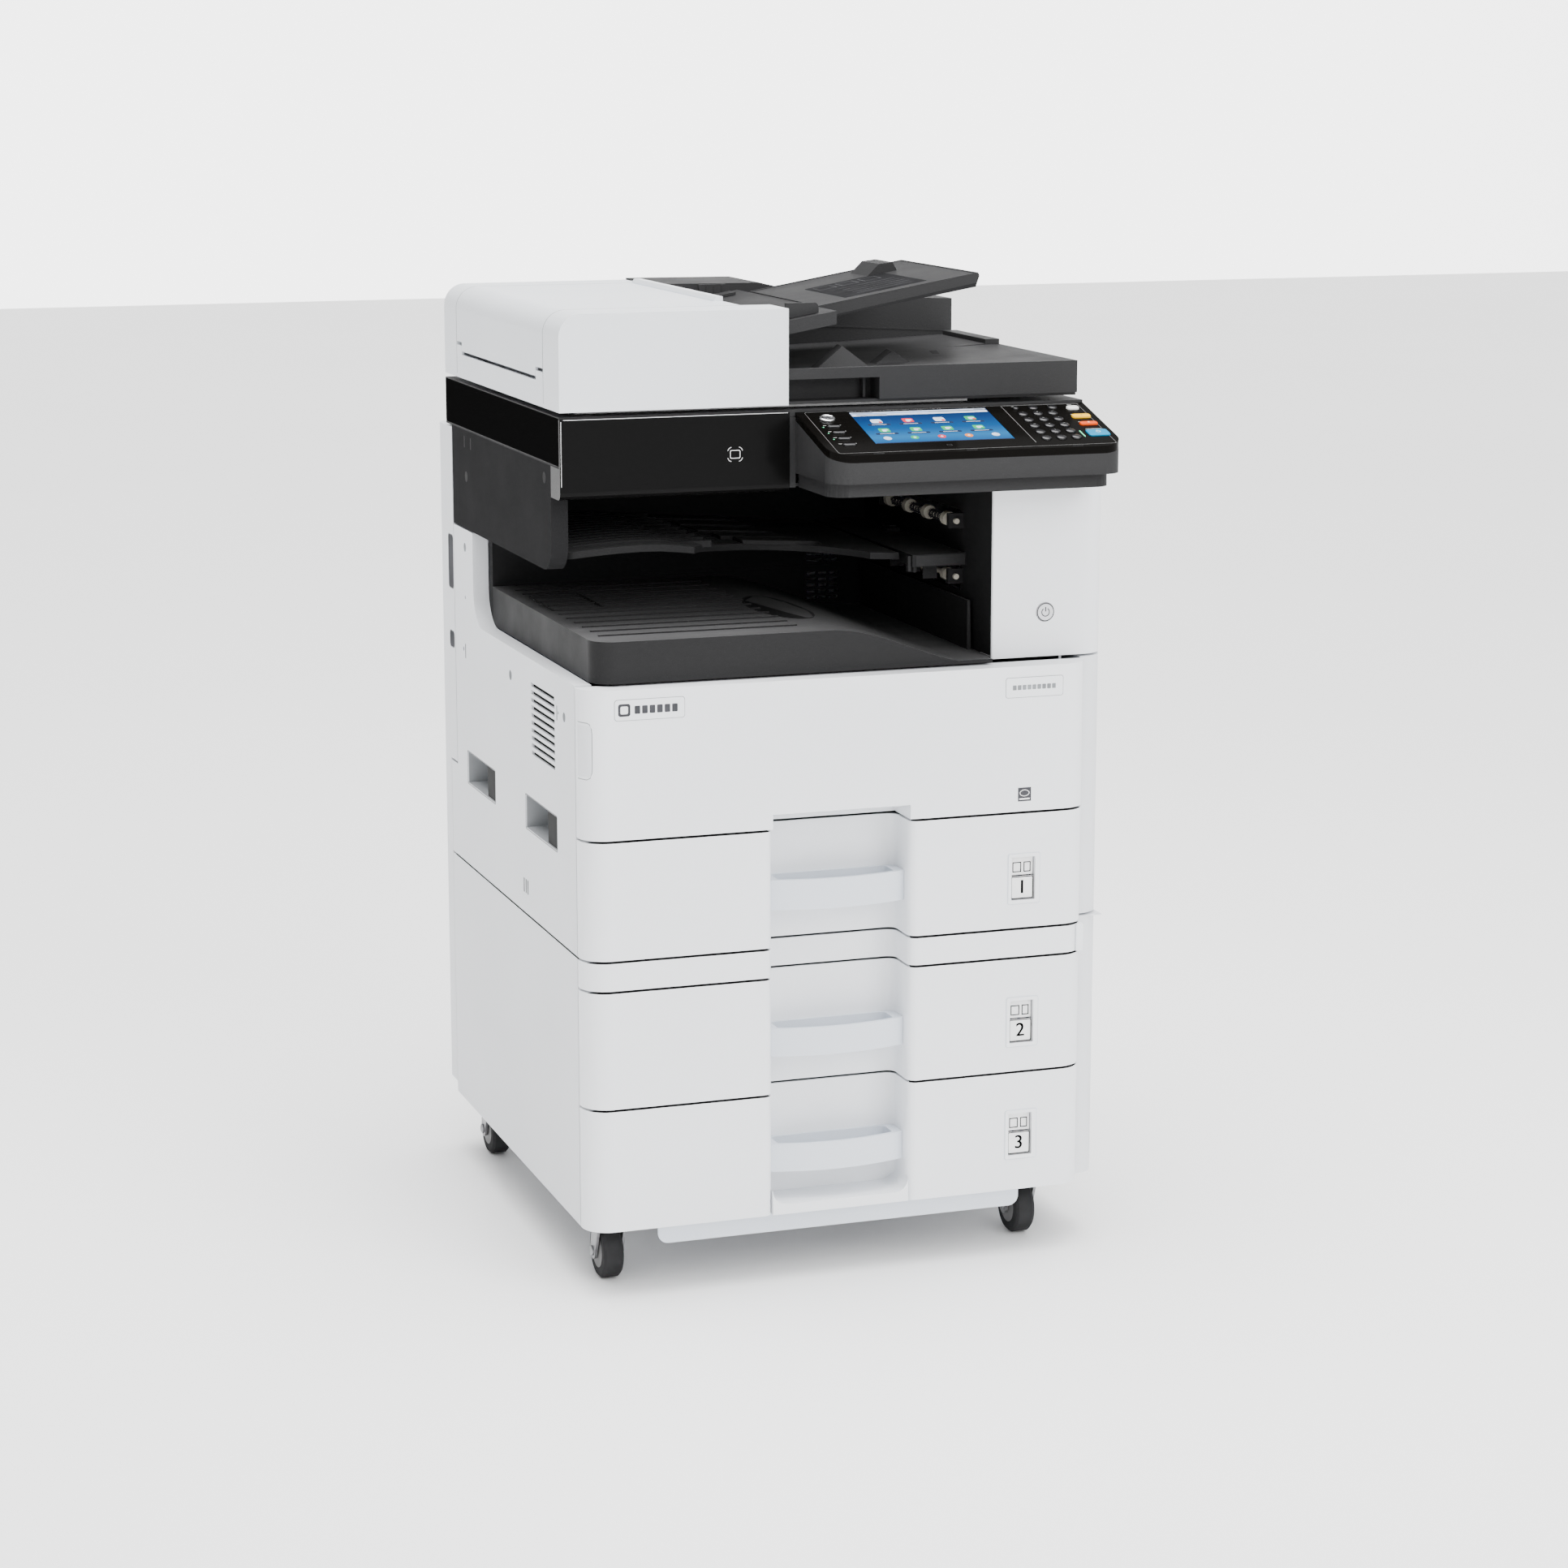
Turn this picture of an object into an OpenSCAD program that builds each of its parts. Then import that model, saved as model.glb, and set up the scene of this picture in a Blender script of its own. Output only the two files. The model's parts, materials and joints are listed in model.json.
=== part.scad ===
// Floor-standing colour photocopier: print unit with three paper drawers, side output cavity,
// flatbed scanner with a document feeder, and a tilted control panel, on four casters.
// Layout coordinates start at the left front corner of the drawer fronts on the floor:
// X to the right, Y to the back, Z up. The last step moves the origin to the middle of the footprint.

/* [Cabinet] */
// Width over both side covers
cabinet_w = 594; // [590:1:620]
// Width of the drawer fronts
front_w = 560; // [556:1:562]
// Depth from the drawer fronts to the back of the rear cover
cabinet_d = 605; // [600:1:640]
// Depth of the side covers, back to the rear cover
side_d = 564; // [560:1:566]
// Radius of the upright cabinet corners
corner_r = 28; // [20:1:29]
// Thickness of every plastic cover
wall = 3; // [2:0.5:4]
// Gap between neighbouring covers
seam = 2.6; // [2:0.1:3]

/* [Drawers] */
// Height of the lowest cover edge above the floor
base_z = 75; // [72:1:78]
// Height of one drawer front
drawer_h = 127; // [126:1:128]
// Height of the lip under the lowest handle niche
lip_h = 5; // [4:1:6]
// Height of the fixed band between the upper drawer and the middle one
band_h = 32; // [31:1:33]

/* [Handle niche] */
// Left edge of the niche on the front plane
niche_x0 = 193; // [190:1:196]
// Right edge of the niche on the front plane
niche_x1 = 366; // [363:1:370]
// Depth of the niche
niche_d = 48; // [44:1:50]
// Radius of the niche's upright edges
niche_r = 10; // [8:1:12]

/* [Print unit] */
// Height of the front cover
front_cover_h = 159; // [158:1:162]
// Height of the output cavity
cavity_h = 186; // [184:1:188]
// Depth of the cavity
cavity_d = 430; // [420:5:440]

/* [Scanner] */
// Height of the scanner housing
scanner_h = 51.5; // [50:0.5:53]
// Depth position of the scanner's front face
scanner_y = 78; // [76:1:80]
// Depth position of the scanner's rear face
scanner_back = 561; // [560:1:562]
// Right end of the scanner housing
scanner_w = 580; // [576:1:584]

/* [Control panel] */
// Left end of the panel
panel_x0 = 255; // [254:1:258]
// Right end of the panel
panel_x1 = 580; // [576:1:582]
// Depth position of the panel's front edge
panel_front = -35; // [-40:1:-30]
// Tilt of the panel's top face
panel_tilt = 16; // [15:0.5:17]

/* [Document feeder] */
// Width of the white feeder body
feeder_w = 247; // [245:1:249]
// Height of the feeder body
feeder_h = 100; // [96:1:104]
// Radius of the feeder's rounded top edge
feeder_r = 24; // [20:1:28]
// Tilt of the document tray
tray_tilt = 9.8; // [8:0.1:11]

/* [Casters] */
// Wheel diameter
wheel_d = 60; // [56:1:62]
// Wheel width
wheel_w = 22; // [18:1:24]
// Distance from the swivel axis back to the wheel axle
caster_trail = 14; // [10:1:16]

/* [Hidden] */
$fn = 64;
eps = 0.5;
// clearance between bodies that move against each other, and radial play of a pin in its bore
gap = 0.6;
play = 0.05;
side_x1 = cabinet_w;
drawer_low = base_z + lip_h;
drawer_z = [drawer_low + 2 * drawer_h + band_h, drawer_low + drawer_h, base_z];
drawer_top = [drawer_z[0] + drawer_h, drawer_low + 2 * drawer_h, drawer_low + drawer_h];
band_z = drawer_top[1];
split_z = band_z + band_h;
cover_z = drawer_top[0];
cavity_z = cover_z + front_cover_h;
ceiling_z = cavity_z + cavity_h;
scanner_z = ceiling_z + 31.5;
scanner_top = scanner_z + scanner_h;
feeder_z = scanner_top + 5;
feeder_top = feeder_z + feeder_h;
front_d = 31;
niche_in = [niche_x0 + niche_r, niche_x1 - niche_r];
niche_mid = (niche_x0 + niche_x1) / 2;
niche_back = niche_d + wall;
drawer_box_x = [38, 536];
drawer_box_y = [niche_back, 440];
frame_left = 31;
frame_right = 546;
frame_y = [56, 558];
sheet = 3;
handle_z = [drawer_z[0] + 38, drawer_z[1] + 38, drawer_z[2] + 43];
handle_h = [32, 30, 30];
label_z = [drawer_z[0] + 31, drawer_z[1] + 32, drawer_z[2] + 38];
label_h = 48;
label_x = [471, 499];
// hinge of the front cover, close to its front face so that it clears the drawer below
cover_hinge = [6.5, cover_z + 11];
cover_arm_r = 3;
cover_arm_x = [44, front_w - 52];
arm_w = 8;
pin_d = 5;
// hinges of the right covers, close to their outer face
door_hinge_x = side_x1 - 8;
door_hinge_z = [base_z + 14, split_z + 16.3];
door_arm_y = [100, 480];
// hinge of the document feeder, behind the scanner
feeder_hinge = [scanner_back + 8, feeder_z - 2];
feeder_hinge_x = [235, 500];
knuckle_w = 30;
// hinge of the feeder's top cover
top_hinge = [7.5, feeder_z + 50];
top_y = [140, 504];
top_x1 = 215;
eject_top = feeder_z + 37;
rear_y0 = 448;
tray_pivot = [260, 1003.5];
tray_y = [170, 405];
tray_x1 = 496;
// the panel's top face passes through this height at the drawer-front plane
panel_z0 = 895;
panel_back = scanner_y + wall;
panel_slope = tan(panel_tilt);
panel_low = [840, 855];
bezel_t = 8;
caster_x = [42, 515];
caster_y = [66, 535];
plate_z = base_z - 5;
axle_d = 8;
stem_d = 12;
// keys on the panel: digit grid, upper row, oval keys on the left, and height range of a key
key_y = [53.6, 37.6, 21.6, 5.5, -10.5];
key_x = [500, 517, 534];
key_row = [498, 518, 540];
key_row_y = 69.6;
oval_key = [283, [39, 23, 7, -9]];
round_key = [283, 60];
side_key_x = 562;
key_z = [-4, 2.2];
digit_d = 11;
small_d = 7;
round_d = 17;
screen_x = [312, 466];
screen_y = [-8, 76];
screen_drop = 2.5;
// exit rollers: axis, heights, depths of the rollers, shaft
exit_x = 452;
exit_z = [731, 791];
roller_y = [145, 203, 261, 319];
exit_shaft_d = 6;
exit_bearing_y = [122, 336];
// output cavity
tray_x = [18, 455];
tray_flat_x = 270;
cavity_right = 461;
tray_wall_top = 58;
// power button on the pillar
button_at = [522, 701];
button_d = 20;
// bypass tray in the upper right cover
bypass_y = [150, 450];
bypass_z = [430, 570];
bypass_hinge = [side_x1 - 3, bypass_z[0] + 4];
bypass_pin_d = 3;
tray_rise = tan(tray_tilt);
drum_x = [180, 250, 320, 390];
// things inside stand this far above the drawers
inner_z = cover_z + 8;
// guide rods of the scan carriage
rod_at = [115, 505];
rod_d = 8;
rod_up = 20;
feed_axis = [196, feeder_z + 78];
feed_shaft_d = 8;
tray_lugs = [[150, 158], [432, 440]];
tray_pin_d = 4;
top_pin_d = 4;

// ---------- shapes ----------

// box between two values on each axis
module block(x, y, z) {
    translate([x[0], y[0], z[0]])
        cube([x[1] - x[0], y[1] - y[0], z[1] - z[0]]);
}

// plan outline raised between two heights
module rise(z) {
    translate([0, 0, z[0]]) linear_extrude(z[1] - z[0]) children();
}

// front outline (X, Z) drawn out between two depths
module run_y(y) {
    translate([0, y[1], 0]) rotate([90, 0, 0]) linear_extrude(y[1] - y[0]) children();
}

// side outline (Y, Z) drawn out between two widths
module run_x(x) {
    translate([x[0], 0, 0]) rotate([90, 0, 90]) linear_extrude(x[1] - x[0]) children();
}

module rod_x(x, y, z, d) {
    translate([x[0], y, z]) rotate([0, 90, 0]) cylinder(h = x[1] - x[0], d = d);
}

module rod_y(x, y, z, d) {
    translate([x, y[1], z]) rotate([90, 0, 0]) cylinder(h = y[1] - y[0], d = d);
}

module rod_z(x, y, z, d) {
    translate([x, y, z[0]]) cylinder(h = z[1] - z[0], d = d);
}

// what rounding takes off a corner that points to -a, -b
module corner_waste(r) {
    difference() {
        translate([-1, -1]) square(r + 1);
        translate([r, r]) circle(r);
    }
}

// rectangle with its own radius at each corner, counted from low a, low b anticlockwise
module round_rect(a, b, r) {
    difference() {
        translate([a[0], b[0]]) square([a[1] - a[0], b[1] - b[0]]);
        if (r[0] > 0) translate([a[0], b[0]]) corner_waste(r[0]);
        if (r[1] > 0) translate([a[1], b[0]]) mirror([1, 0]) corner_waste(r[1]);
        if (r[2] > 0) translate([a[1], b[1]]) rotate(180) corner_waste(r[2]);
        if (r[3] > 0) translate([a[0], b[1]]) mirror([0, 1]) corner_waste(r[3]);
    }
}

// ---------- drawers and front ----------

// plan of a front that is interrupted by the niche
module split_plan(inset = 0, back = 0) {
    outer = corner_r - inset;
    inner = niche_r - inset;
    y = [inset, front_d + back];
    round_rect([inset, niche_in[0] - inset], y, [outer, inner, 0, 0]);
    round_rect([niche_in[1] + inset, front_w - inset], y, [inner, outer, 0, 0]);
}

// plan of the wall round the niche
module niche_wall_plan() {
    r = niche_r;
    difference() {
        round_rect([niche_in[0] - wall, niche_in[1] + wall], [niche_r, niche_back],
            [0, 0, r + wall, r + wall]);
        round_rect(niche_in, [0, niche_d], [0, 0, r, r]);
    }
}

// hollow front with the niche running through it
module split_front(z) {
    rise(z) niche_wall_plan();
    difference() {
        rise(z) split_plan();
        rise([z[0] + wall, z[1] - wall]) split_plan(wall, 1);
    }
}

module label_window(i) {
    difference() {
        block([label_x[0] - 2, label_x[1] + 2], [1, 16],
            [label_z[i] - 2, label_z[i] + label_h + 2]);
        block(label_x, [-1, 13], [label_z[i], label_z[i] + label_h]);
    }
}

module drawer_front(i) {
    z = [drawer_z[i] + (i == 2 ? 0 : seam / 2), drawer_top[i] - seam / 2];
    color("whitesmoke") {
        difference() {
            split_front(z);
            block(label_x, [-1, 13], [label_z[i], label_z[i] + label_h]);
        }
        label_window(i);
        if (i == 2) niche_floor(z[0]);
    }
}

// lip that closes the niche at the bottom of the lowest drawer
module niche_floor(z) {
    r = 15;
    difference() {
        block(niche_in, [0, niche_d + eps], [z, z + 11 + r]);
        run_y([-1, niche_d + 1]) round_rect(niche_in, [z + 11, z + 60], [r, r, 0, 0]);
    }
}

// bulging front of a handle, set back by some depth
module handle_bow(inset) {
    bow = 13;
    half = (niche_in[1] - niche_in[0]) / 2;
    r = (half * half + bow * bow) / (2 * bow);
    translate([niche_mid, 5 + r]) circle(r - inset, $fn = 180);
}

module drawer_handle(i) {
    z = [handle_z[i], handle_z[i] + handle_h[i]];
    side = 0.2;
    color("lightgray") difference() {
        rise(z) intersection() {
            handle_bow(0);
            round_rect([niche_in[0] + side, niche_in[1] - side], [0, niche_d],
                [0, 0, niche_r + side, niche_r + side]);
        }
        rise([z[0] + 5, z[1] + 1]) intersection() {
            handle_bow(5);
            round_rect([niche_mid - 65, niche_mid + 65], [0, niche_d - 4], [0, 0, 6, 6]);
        }
    }
}

module drawer_box(i) {
    z0 = (i == 2 ? drawer_low : drawer_z[i]) + 8;
    z1 = z0 + 92;
    x = drawer_box_x;
    y = drawer_box_y;
    t = 2.5;
    color("lightslategray") {
        difference() {
            block(x, y, [z0, z1]);
            block([x[0] + t, x[1] - t], [y[0] + t, y[1] - t], [z0 + t, z1 + 1]);
        }
        // side fences and end fence that hold the paper
        for (fence_y = [y[0] + 28, y[1] - 38]) {
            block([160, 340], [fence_y, fence_y + 4], [z0 + t, z1 - 12]);
        }
        block([60, 64], [160, 330], [z0 + t, z1 - 12]);
        // arms that reach forward into the front
        for (arm_x = [90, 440]) {
            block([arm_x, arm_x + 16], [wall, y[0]], [z0 + 12, z0 + 40]);
        }
    }
}

module front_cover() {
    z = [cover_z + seam / 2, cavity_z - seam / 2];
    niche_top = cover_z + 17;
    cheek_z = cover_hinge[1] + 8;
    color("whitesmoke") difference() {
        union() {
            difference() {
                rise(z) round_rect([0, front_w], [0, front_d], [corner_r, corner_r, 0, 0]);
                rise([z[0] + wall, z[1] - wall])
                    round_rect([wall, front_w - wall], [wall, front_d + 1],
                        [corner_r - wall, corner_r - wall, 0, 0]);
            }
            block([niche_in[0] - wall, niche_in[1] + wall], [1, niche_back],
                [z[0], niche_top + wall]);
            for (x = cover_arm_x, side = [-1, 1]) {
                cheek = x + (arm_w / 2 + 3.5) * side;
                block([cheek - 2.5, cheek + 2.5], [1, 16], [z[0], cheek_z]);
            }
        }
        // slanting roof of the niche
        run_x(niche_in) polygon([[-1, z[0] - 1], [-1, niche_top], [0, niche_top],
            [niche_d, niche_top - 12], [niche_d, z[0] - 1]]);
        for (x = cover_arm_x) {
            rod_x([x - 15, x + 15], cover_hinge[0], cover_hinge[1], pin_d + 2 * play);
            block([x - arm_w / 2 - 1, x + arm_w / 2 + 1], [wall, front_d + 1],
                [z[0] - 1, z[0] + wall + 1]);
        }
    }
}

module feeder_band() {
    z = [band_z + seam / 2, split_z - seam / 2];
    color("whitesmoke") {
        split_front(z);
        for (x = [[frame_left - sheet, frame_left], [frame_right + sheet, front_w - wall]]) {
            block(x, [wall, frame_y[0] + 20], [z[0], z[1]]);
        }
    }
}

module base_stopper() {
    r = 11;
    color("lightgray") {
        run_y([15, 18]) round_rect([80, 490], [52, base_z - 0.5], [r, r, 0, 0]);
        for (x = [130, 430]) {
            block([x, x + 20], [18, 40], [plate_z + 1, base_z - 1]);
        }
    }
}

// ---------- frame ----------

module drawer_rails() {
    for (z = [drawer_low, drawer_z[1], drawer_z[0]]) {
        for (x = [[frame_left, frame_left + 30], [frame_right - 28, frame_right + sheet]]) {
            block(x, [frame_y[0], frame_y[1]], [z + 2, z + 8 - gap]);
        }
    }
}

module caster_boss(x, y, z, d) {
    for (a = x, b = y) rod_z(a, b, z, d);
}

module cabinet_frame() {
    color("silver") difference() {
        union() {
            block([12, front_w], [40, 560], [plate_z, base_z]);
            block([frame_left, frame_left + sheet], frame_y, [base_z, cavity_z - 20]);
            block([frame_right, frame_right + sheet], frame_y, [base_z, cavity_z]);
            block([frame_right, frame_right + sheet], [panel_back + 5, frame_y[1]],
                [cavity_z - 1, scanner_z]);
            block([frame_left, frame_right + sheet], [frame_y[1] - sheet, frame_y[1]], [base_z, scanner_z]);
            block([frame_left, frame_right], frame_y, [band_z + 8, band_z + 12]);
            block([frame_left, frame_right], frame_y, [cover_z + 4, cover_z + 8]);
            block([22, frame_right + sheet], [90, frame_y[1]], [scanner_z - sheet, scanner_z]);
            drawer_rails();
            caster_boss(caster_x, caster_y, [plate_z, base_z + 8], 26);
            cover_arms();
            door_arms();
        }
        caster_boss(caster_x, caster_y, [plate_z - 1, base_z + 9], stem_d + 2 * play);
    }
}

// arms that carry the hinge pins of the front cover
module cover_arms() {
    for (x = cover_arm_x) {
        block([x - arm_w / 2, x + arm_w / 2], [cover_hinge[0], frame_y[0] + 1],
            [cover_hinge[1] - cover_arm_r, cover_hinge[1] + cover_arm_r]);
        rod_x([x - arm_w / 2, x + arm_w / 2], cover_hinge[0], cover_hinge[1], 2 * cover_arm_r);
        block([x - arm_w / 2, x + arm_w / 2], [frame_y[0] - 1, frame_y[0] + 20],
            [cover_z + 6, cover_hinge[1] + cover_arm_r]);
        rod_x([x - 11, x + 11], cover_hinge[0], cover_hinge[1], pin_d);
    }
}

// arms that carry the hinge pins of the right covers
module door_arms() {
    for (z = door_hinge_z, y = door_arm_y) {
        block([frame_right, door_hinge_x], [y - arm_w / 2, y + arm_w / 2], [z - 4, z + 4]);
        rod_y(door_hinge_x, [y - arm_w / 2, y + arm_w / 2], z, 8);
        rod_y(door_hinge_x, [y - 11, y + 11], z, pin_d);
    }
}

// ---------- side and rear covers ----------

module left_cover_lower() {
    y = [front_d + seam, side_d];
    z = [base_z, split_z - seam / 2];
    color("gainsboro") difference() {
        block([0, 15], y, z);
        block([wall, 16], [y[0] + wall, y[1] - wall], [z[0] + wall, z[1] - wall]);
    }
}

// side outline with the cut-out of the output cavity, moved back and down by some inset
module left_upper_outline(inset = 0) {
    y = [front_d + seam + inset, 534.7];
    edge = 449 + inset;
    top = cavity_z - inset;
    r = 40;
    z0 = split_z + seam / 2;
    translate([y[0], z0]) square([y[1] - y[0], top - z0]);
    translate([y[1] - 1, z0]) square([side_d - y[1] + 1, 475.7 - z0]);
    translate([edge, z0]) square([y[1] - edge, 755.7 - inset - z0]);
    difference() {
        translate([edge - r, top - 1]) square(r + 1);
        translate([edge - r, top + r]) circle(r);
    }
}

module left_cover_upper() {
    grips = [[106, 233], [363, 488]];
    grip_z = [463, 500];
    color("gainsboro") {
        difference() {
            run_x([0, wall]) left_upper_outline();
            for (i = [0:9]) {
                block([-1, wall + 1], [111, 204], [549 + 8.2 * i, 553.5 + 8.2 * i]);
            }
            for (i = [0:2]) {
                block([-1, wall + 1], [226 + 8 * i, 231 + 8 * i], [389, 405]);
            }
            for (y = grips) block([-1, wall + 1], y, grip_z);
        }
        run_x([wall, 18]) difference() {
            left_upper_outline();
            left_upper_outline(wall);
            translate([0, split_z]) square([side_d + 1, cavity_z - 60 - split_z]);
            translate([531, split_z]) square([40, 400]);
        }
        for (y = grips) {
            difference() {
                block([1, 29], [y[0] - 2, y[1] + 2], [grip_z[0] - 2, grip_z[1] + 2]);
                block([0, 27], y, grip_z);
            }
        }
    }
}

module rear_cover() {
    low = [side_d + 1.3, cabinet_d];
    high = [537.3, cabinet_d];
    z = [base_z + 12, scanner_z - 3.5];
    step_z = 478.3;
    x = [0, side_x1];
    r = 14;
    inlet = [[60, 90], [130, 156]];
    color("gainsboro") {
        difference() {
            union() {
                rise([z[0], step_z]) round_rect(x, low, [0, 0, r, r]);
                rise([z[0], step_z]) round_rect([front_w + 2, x[1]], high, [0, 0, r, 0]);
                rise([step_z, z[1]]) round_rect(x, high, [0, 0, r, r]);
            }
            rise([z[0] + wall, z[1] - wall])
                round_rect([wall, side_x1 - wall], [high[0] - 1, cabinet_d - wall],
                    [0, 0, r - wall, r - wall]);
            block([wall, side_x1 - wall], [high[0] - 1, frame_y[1] + 1.5], [z[1] - wall - 1, z[1] + 1]);
            for (i = [0:13], x0 = [110, 340]) {
                block([x0, x0 + 90], [cabinet_d - wall - 1, cabinet_d + 1],
                    [590 + 9 * i, 594.5 + 9 * i]);
            }
            block(inlet[0], [cabinet_d - wall - 1, cabinet_d + 1], inlet[1]);
        }
        power_inlet(inlet[0], inlet[1]);
    }
}

// recessed socket with three contact blades
module power_inlet(x, z) {
    depth = 20;
    difference() {
        block([x[0] - 3, x[1] + 3], [cabinet_d - depth - 3, cabinet_d - 1], [z[0] - 3, z[1] + 3]);
        block(x, [cabinet_d - depth, cabinet_d + 1], z);
    }
    for (dx = [7, 14, 21]) {
        block([x[0] + dx, x[0] + dx + 2], [cabinet_d - depth - 1, cabinet_d - 4], [z[0] + 10, z[0] + 16]);
    }
}

// outward-opening cover on the right with slots for its hinge arms
module door(y, z, hinge_z, tall_y, tall_z) {
    x = [front_w + 3, side_x1];
    difference() {
        union() {
            rise(z) round_rect(x, y, [0, corner_r, 0, 0]);
            block(x, tall_y, [z[1] - 1, tall_z]);
        }
        rise([z[0] + wall, z[1] - wall])
            round_rect([x[0] - 1, x[1] - wall], [y[0] + wall, y[1] - wall], [0, corner_r - wall, 0, 0]);
        if (tall_z > z[1]) {
            block([x[0] - 1, x[1] - wall], [tall_y[0] + wall, tall_y[1] - wall],
                [z[1] - wall - 1, tall_z - wall]);
        }
        for (arm_y = door_arm_y) {
            block([x[0] - 1, x[1] - wall], [arm_y - arm_w / 2 - 1, arm_y + arm_w / 2 + 1],
                [z[0] - 1, z[0] + wall + 1]);
        }
    }
    for (arm_y = door_arm_y, side = [-1, 1]) {
        cheek = arm_y + (arm_w / 2 + 3.5) * side;
        difference() {
            block([x[1] - 16, x[1] - 1], [cheek - 2.5, cheek + 2.5], [z[0] + 1, hinge_z + 8]);
            rod_y(door_hinge_x, [cheek - 3, cheek + 3], hinge_z, pin_d + 2 * play);
        }
    }
}

module right_cover_lower() {
    z = [base_z - 3, split_z - seam / 2];
    y = [38, 534.7];
    color("gainsboro") door(y, z, door_hinge_z[0], y, z[1]);
}

module right_cover_upper() {
    z = [split_z + seam / 2, cavity_z - seam / 2];
    y = [38, 534.7];
    hollow_y = [bypass_y[0] - 1, bypass_y[1] + 1];
    hollow_z = [bypass_z[0] - 3, bypass_z[1] + 2];
    color("gainsboro") {
        difference() {
            door(y, z, door_hinge_z[1], [72, y[1]], ceiling_z - 12);
            block([side_x1 - 10, side_x1 + 1], hollow_y, hollow_z);
        }
        difference() {
            block([side_x1 - 20, side_x1 - 1], [hollow_y[0] - 2, hollow_y[1] + 2],
                [hollow_z[0] - 2, hollow_z[1] + 2]);
            block([side_x1 - 18, side_x1], hollow_y, hollow_z);
        }
        for (y = [[hollow_y[0] - 1, bypass_y[0] + 5], [bypass_y[1] - 5, hollow_y[1] + 1]]) {
            rod_y(bypass_hinge[0], y, bypass_hinge[1], bypass_pin_d);
        }
    }
}

module bypass_tray() {
    x = [side_x1 - 6, side_x1];
    color("gainsboro") difference() {
        union() {
            block(x, bypass_y, bypass_z);
            block([x[0] - 8, x[0] + 1], [bypass_y[0] + 40, bypass_y[1] - 40],
                [bypass_z[0] + 30, bypass_z[0] + 34]);
        }
        for (y = [[bypass_y[0] - 1, bypass_y[0] + 6], [bypass_y[1] - 6, bypass_y[1] + 1]]) {
            rod_y(bypass_hinge[0], y, bypass_hinge[1], bypass_pin_d + 2 * play);
        }
        // finger notch at the top
        block([x[1] - 3, x[1] + 1], [280, 320], [bypass_z[1] - 14, bypass_z[1] - 4]);
    }
}

// ---------- output cavity ----------

function tray_top(x) = x < tray_flat_x ? cavity_z + 45
    : max(cavity_z + 5, cavity_z + 22.5 * (1 + cos(180 * (x - tray_flat_x) / 185)));

module tray_profile(drop) {
    steps = 24;
    x = [tray_x[0], tray_flat_x, tray_x[1]];
    polygon(concat([[x[2] + drop, cavity_z + 1.3 - drop], [x[0] - drop, cavity_z + 1.3 - drop],
        [x[0] - drop, tray_top(0) - drop]],
        [for (i = [0:steps]) let (u = x[1] + (x[2] + drop - x[1]) * i / steps) [u, tray_top(u) - drop]]));
}

module output_tray() {
    y = [20, cavity_d];
    color("dimgray") {
        difference() {
            intersection() {
                run_y(y) tray_profile(0);
                rise([cavity_z, cavity_z + 60]) round_rect(tray_x, y, [25, 0, 0, 0]);
            }
            intersection() {
                run_y([y[0], y[1] + 1]) tray_profile(wall);
                rise([cavity_z - 5, cavity_z + 60])
                    round_rect([tray_x[0] + wall, tray_x[1] + 1], [y[0] + wall, y[1] + 1], [22, 0, 0, 0]);
            }
        }
        for (i = [0:11]) {
            block([34, 250], [60 + 30 * i, 63 + 30 * i], [tray_top(0) - 1, tray_top(0) + 1.5]);
        }
        // upright wall that the sheets stop against
        block([tray_x[1] - wall, tray_x[1]], [86, 420], [cavity_z + 4, cavity_z + tray_wall_top]);
        // floor strip from the stop wall to the pillar
        block([tray_x[1] - 1, cavity_right], [y[0] + 20, y[1]], [cavity_z + 1.3, cavity_z + 4]);
    }
}

// rows of vent slots in the back wall, from a height up
module wall_vents(rows, z) {
    for (i = [0:rows - 1]) {
        block([390, 429], [cavity_d - 1, cavity_d + 4], [z + 7 * i, z + 7 * i + 3.5]);
    }
}

module cavity_wall() {
    top = ceiling_z;
    low = cavity_z + 1.3;
    right = [cavity_right, cavity_right + wall];
    slot_y = [130, 335];
    color("#1c1c1c") {
        difference() {
            block([tray_x[0], right[1]], [cavity_d, cavity_d + wall], [low, top]);
            wall_vents(5, cavity_z + 12);
            wall_vents(2, cavity_z + 55);
        }
        block([tray_x[0], right[1]], [105, cavity_d + wall], [top, top + wall]);
        block([tray_x[0], tray_x[0] + wall], [cavity_d, 446], [low, top]);
        // right wall with slots for the exit rollers, its front part inside the pillar
        difference() {
            union() {
                block(right, [41, 71], [low + wall + 0.1, panel_low[0] - wall - 1]);
                block(right, [70, panel_back + 2], [low, panel_low[0] - 1]);
                block(right, [panel_back + 1, cavity_d + 1], [low, top + 1]);
            }
            block([right[0] - 1, right[1] + 1], slot_y, [exit_z[1] - 10, exit_z[1] + 10]);
            block([right[0] - 1, right[1] + 1], slot_y, [exit_z[0] - 17, exit_z[0] + 10]);
        }
        // bearings of the exit rollers
        for (z = exit_z, y = exit_bearing_y) {
            difference() {
                block([exit_x - 8, right[0] + 1], [y, y + 6], [z - 8, z + 8]);
                rod_y(exit_x, [y - 1, y + 7], z, exit_shaft_d + 2 * play);
            }
        }
    }
}

module exit_roller_shaft(z, d) {
    color("silver") rod_y(exit_x, [exit_bearing_y[0] - 4, exit_bearing_y[1] + 10], z, exit_shaft_d);
    color("gainsboro") for (y = roller_y) rod_y(exit_x, [y - 5, y + 5], z, d);
}

module exit_rollers_upper() {
    exit_roller_shaft(exit_z[1], 15);
}

module exit_rollers_lower() {
    exit_roller_shaft(exit_z[0], 14);
}

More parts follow.
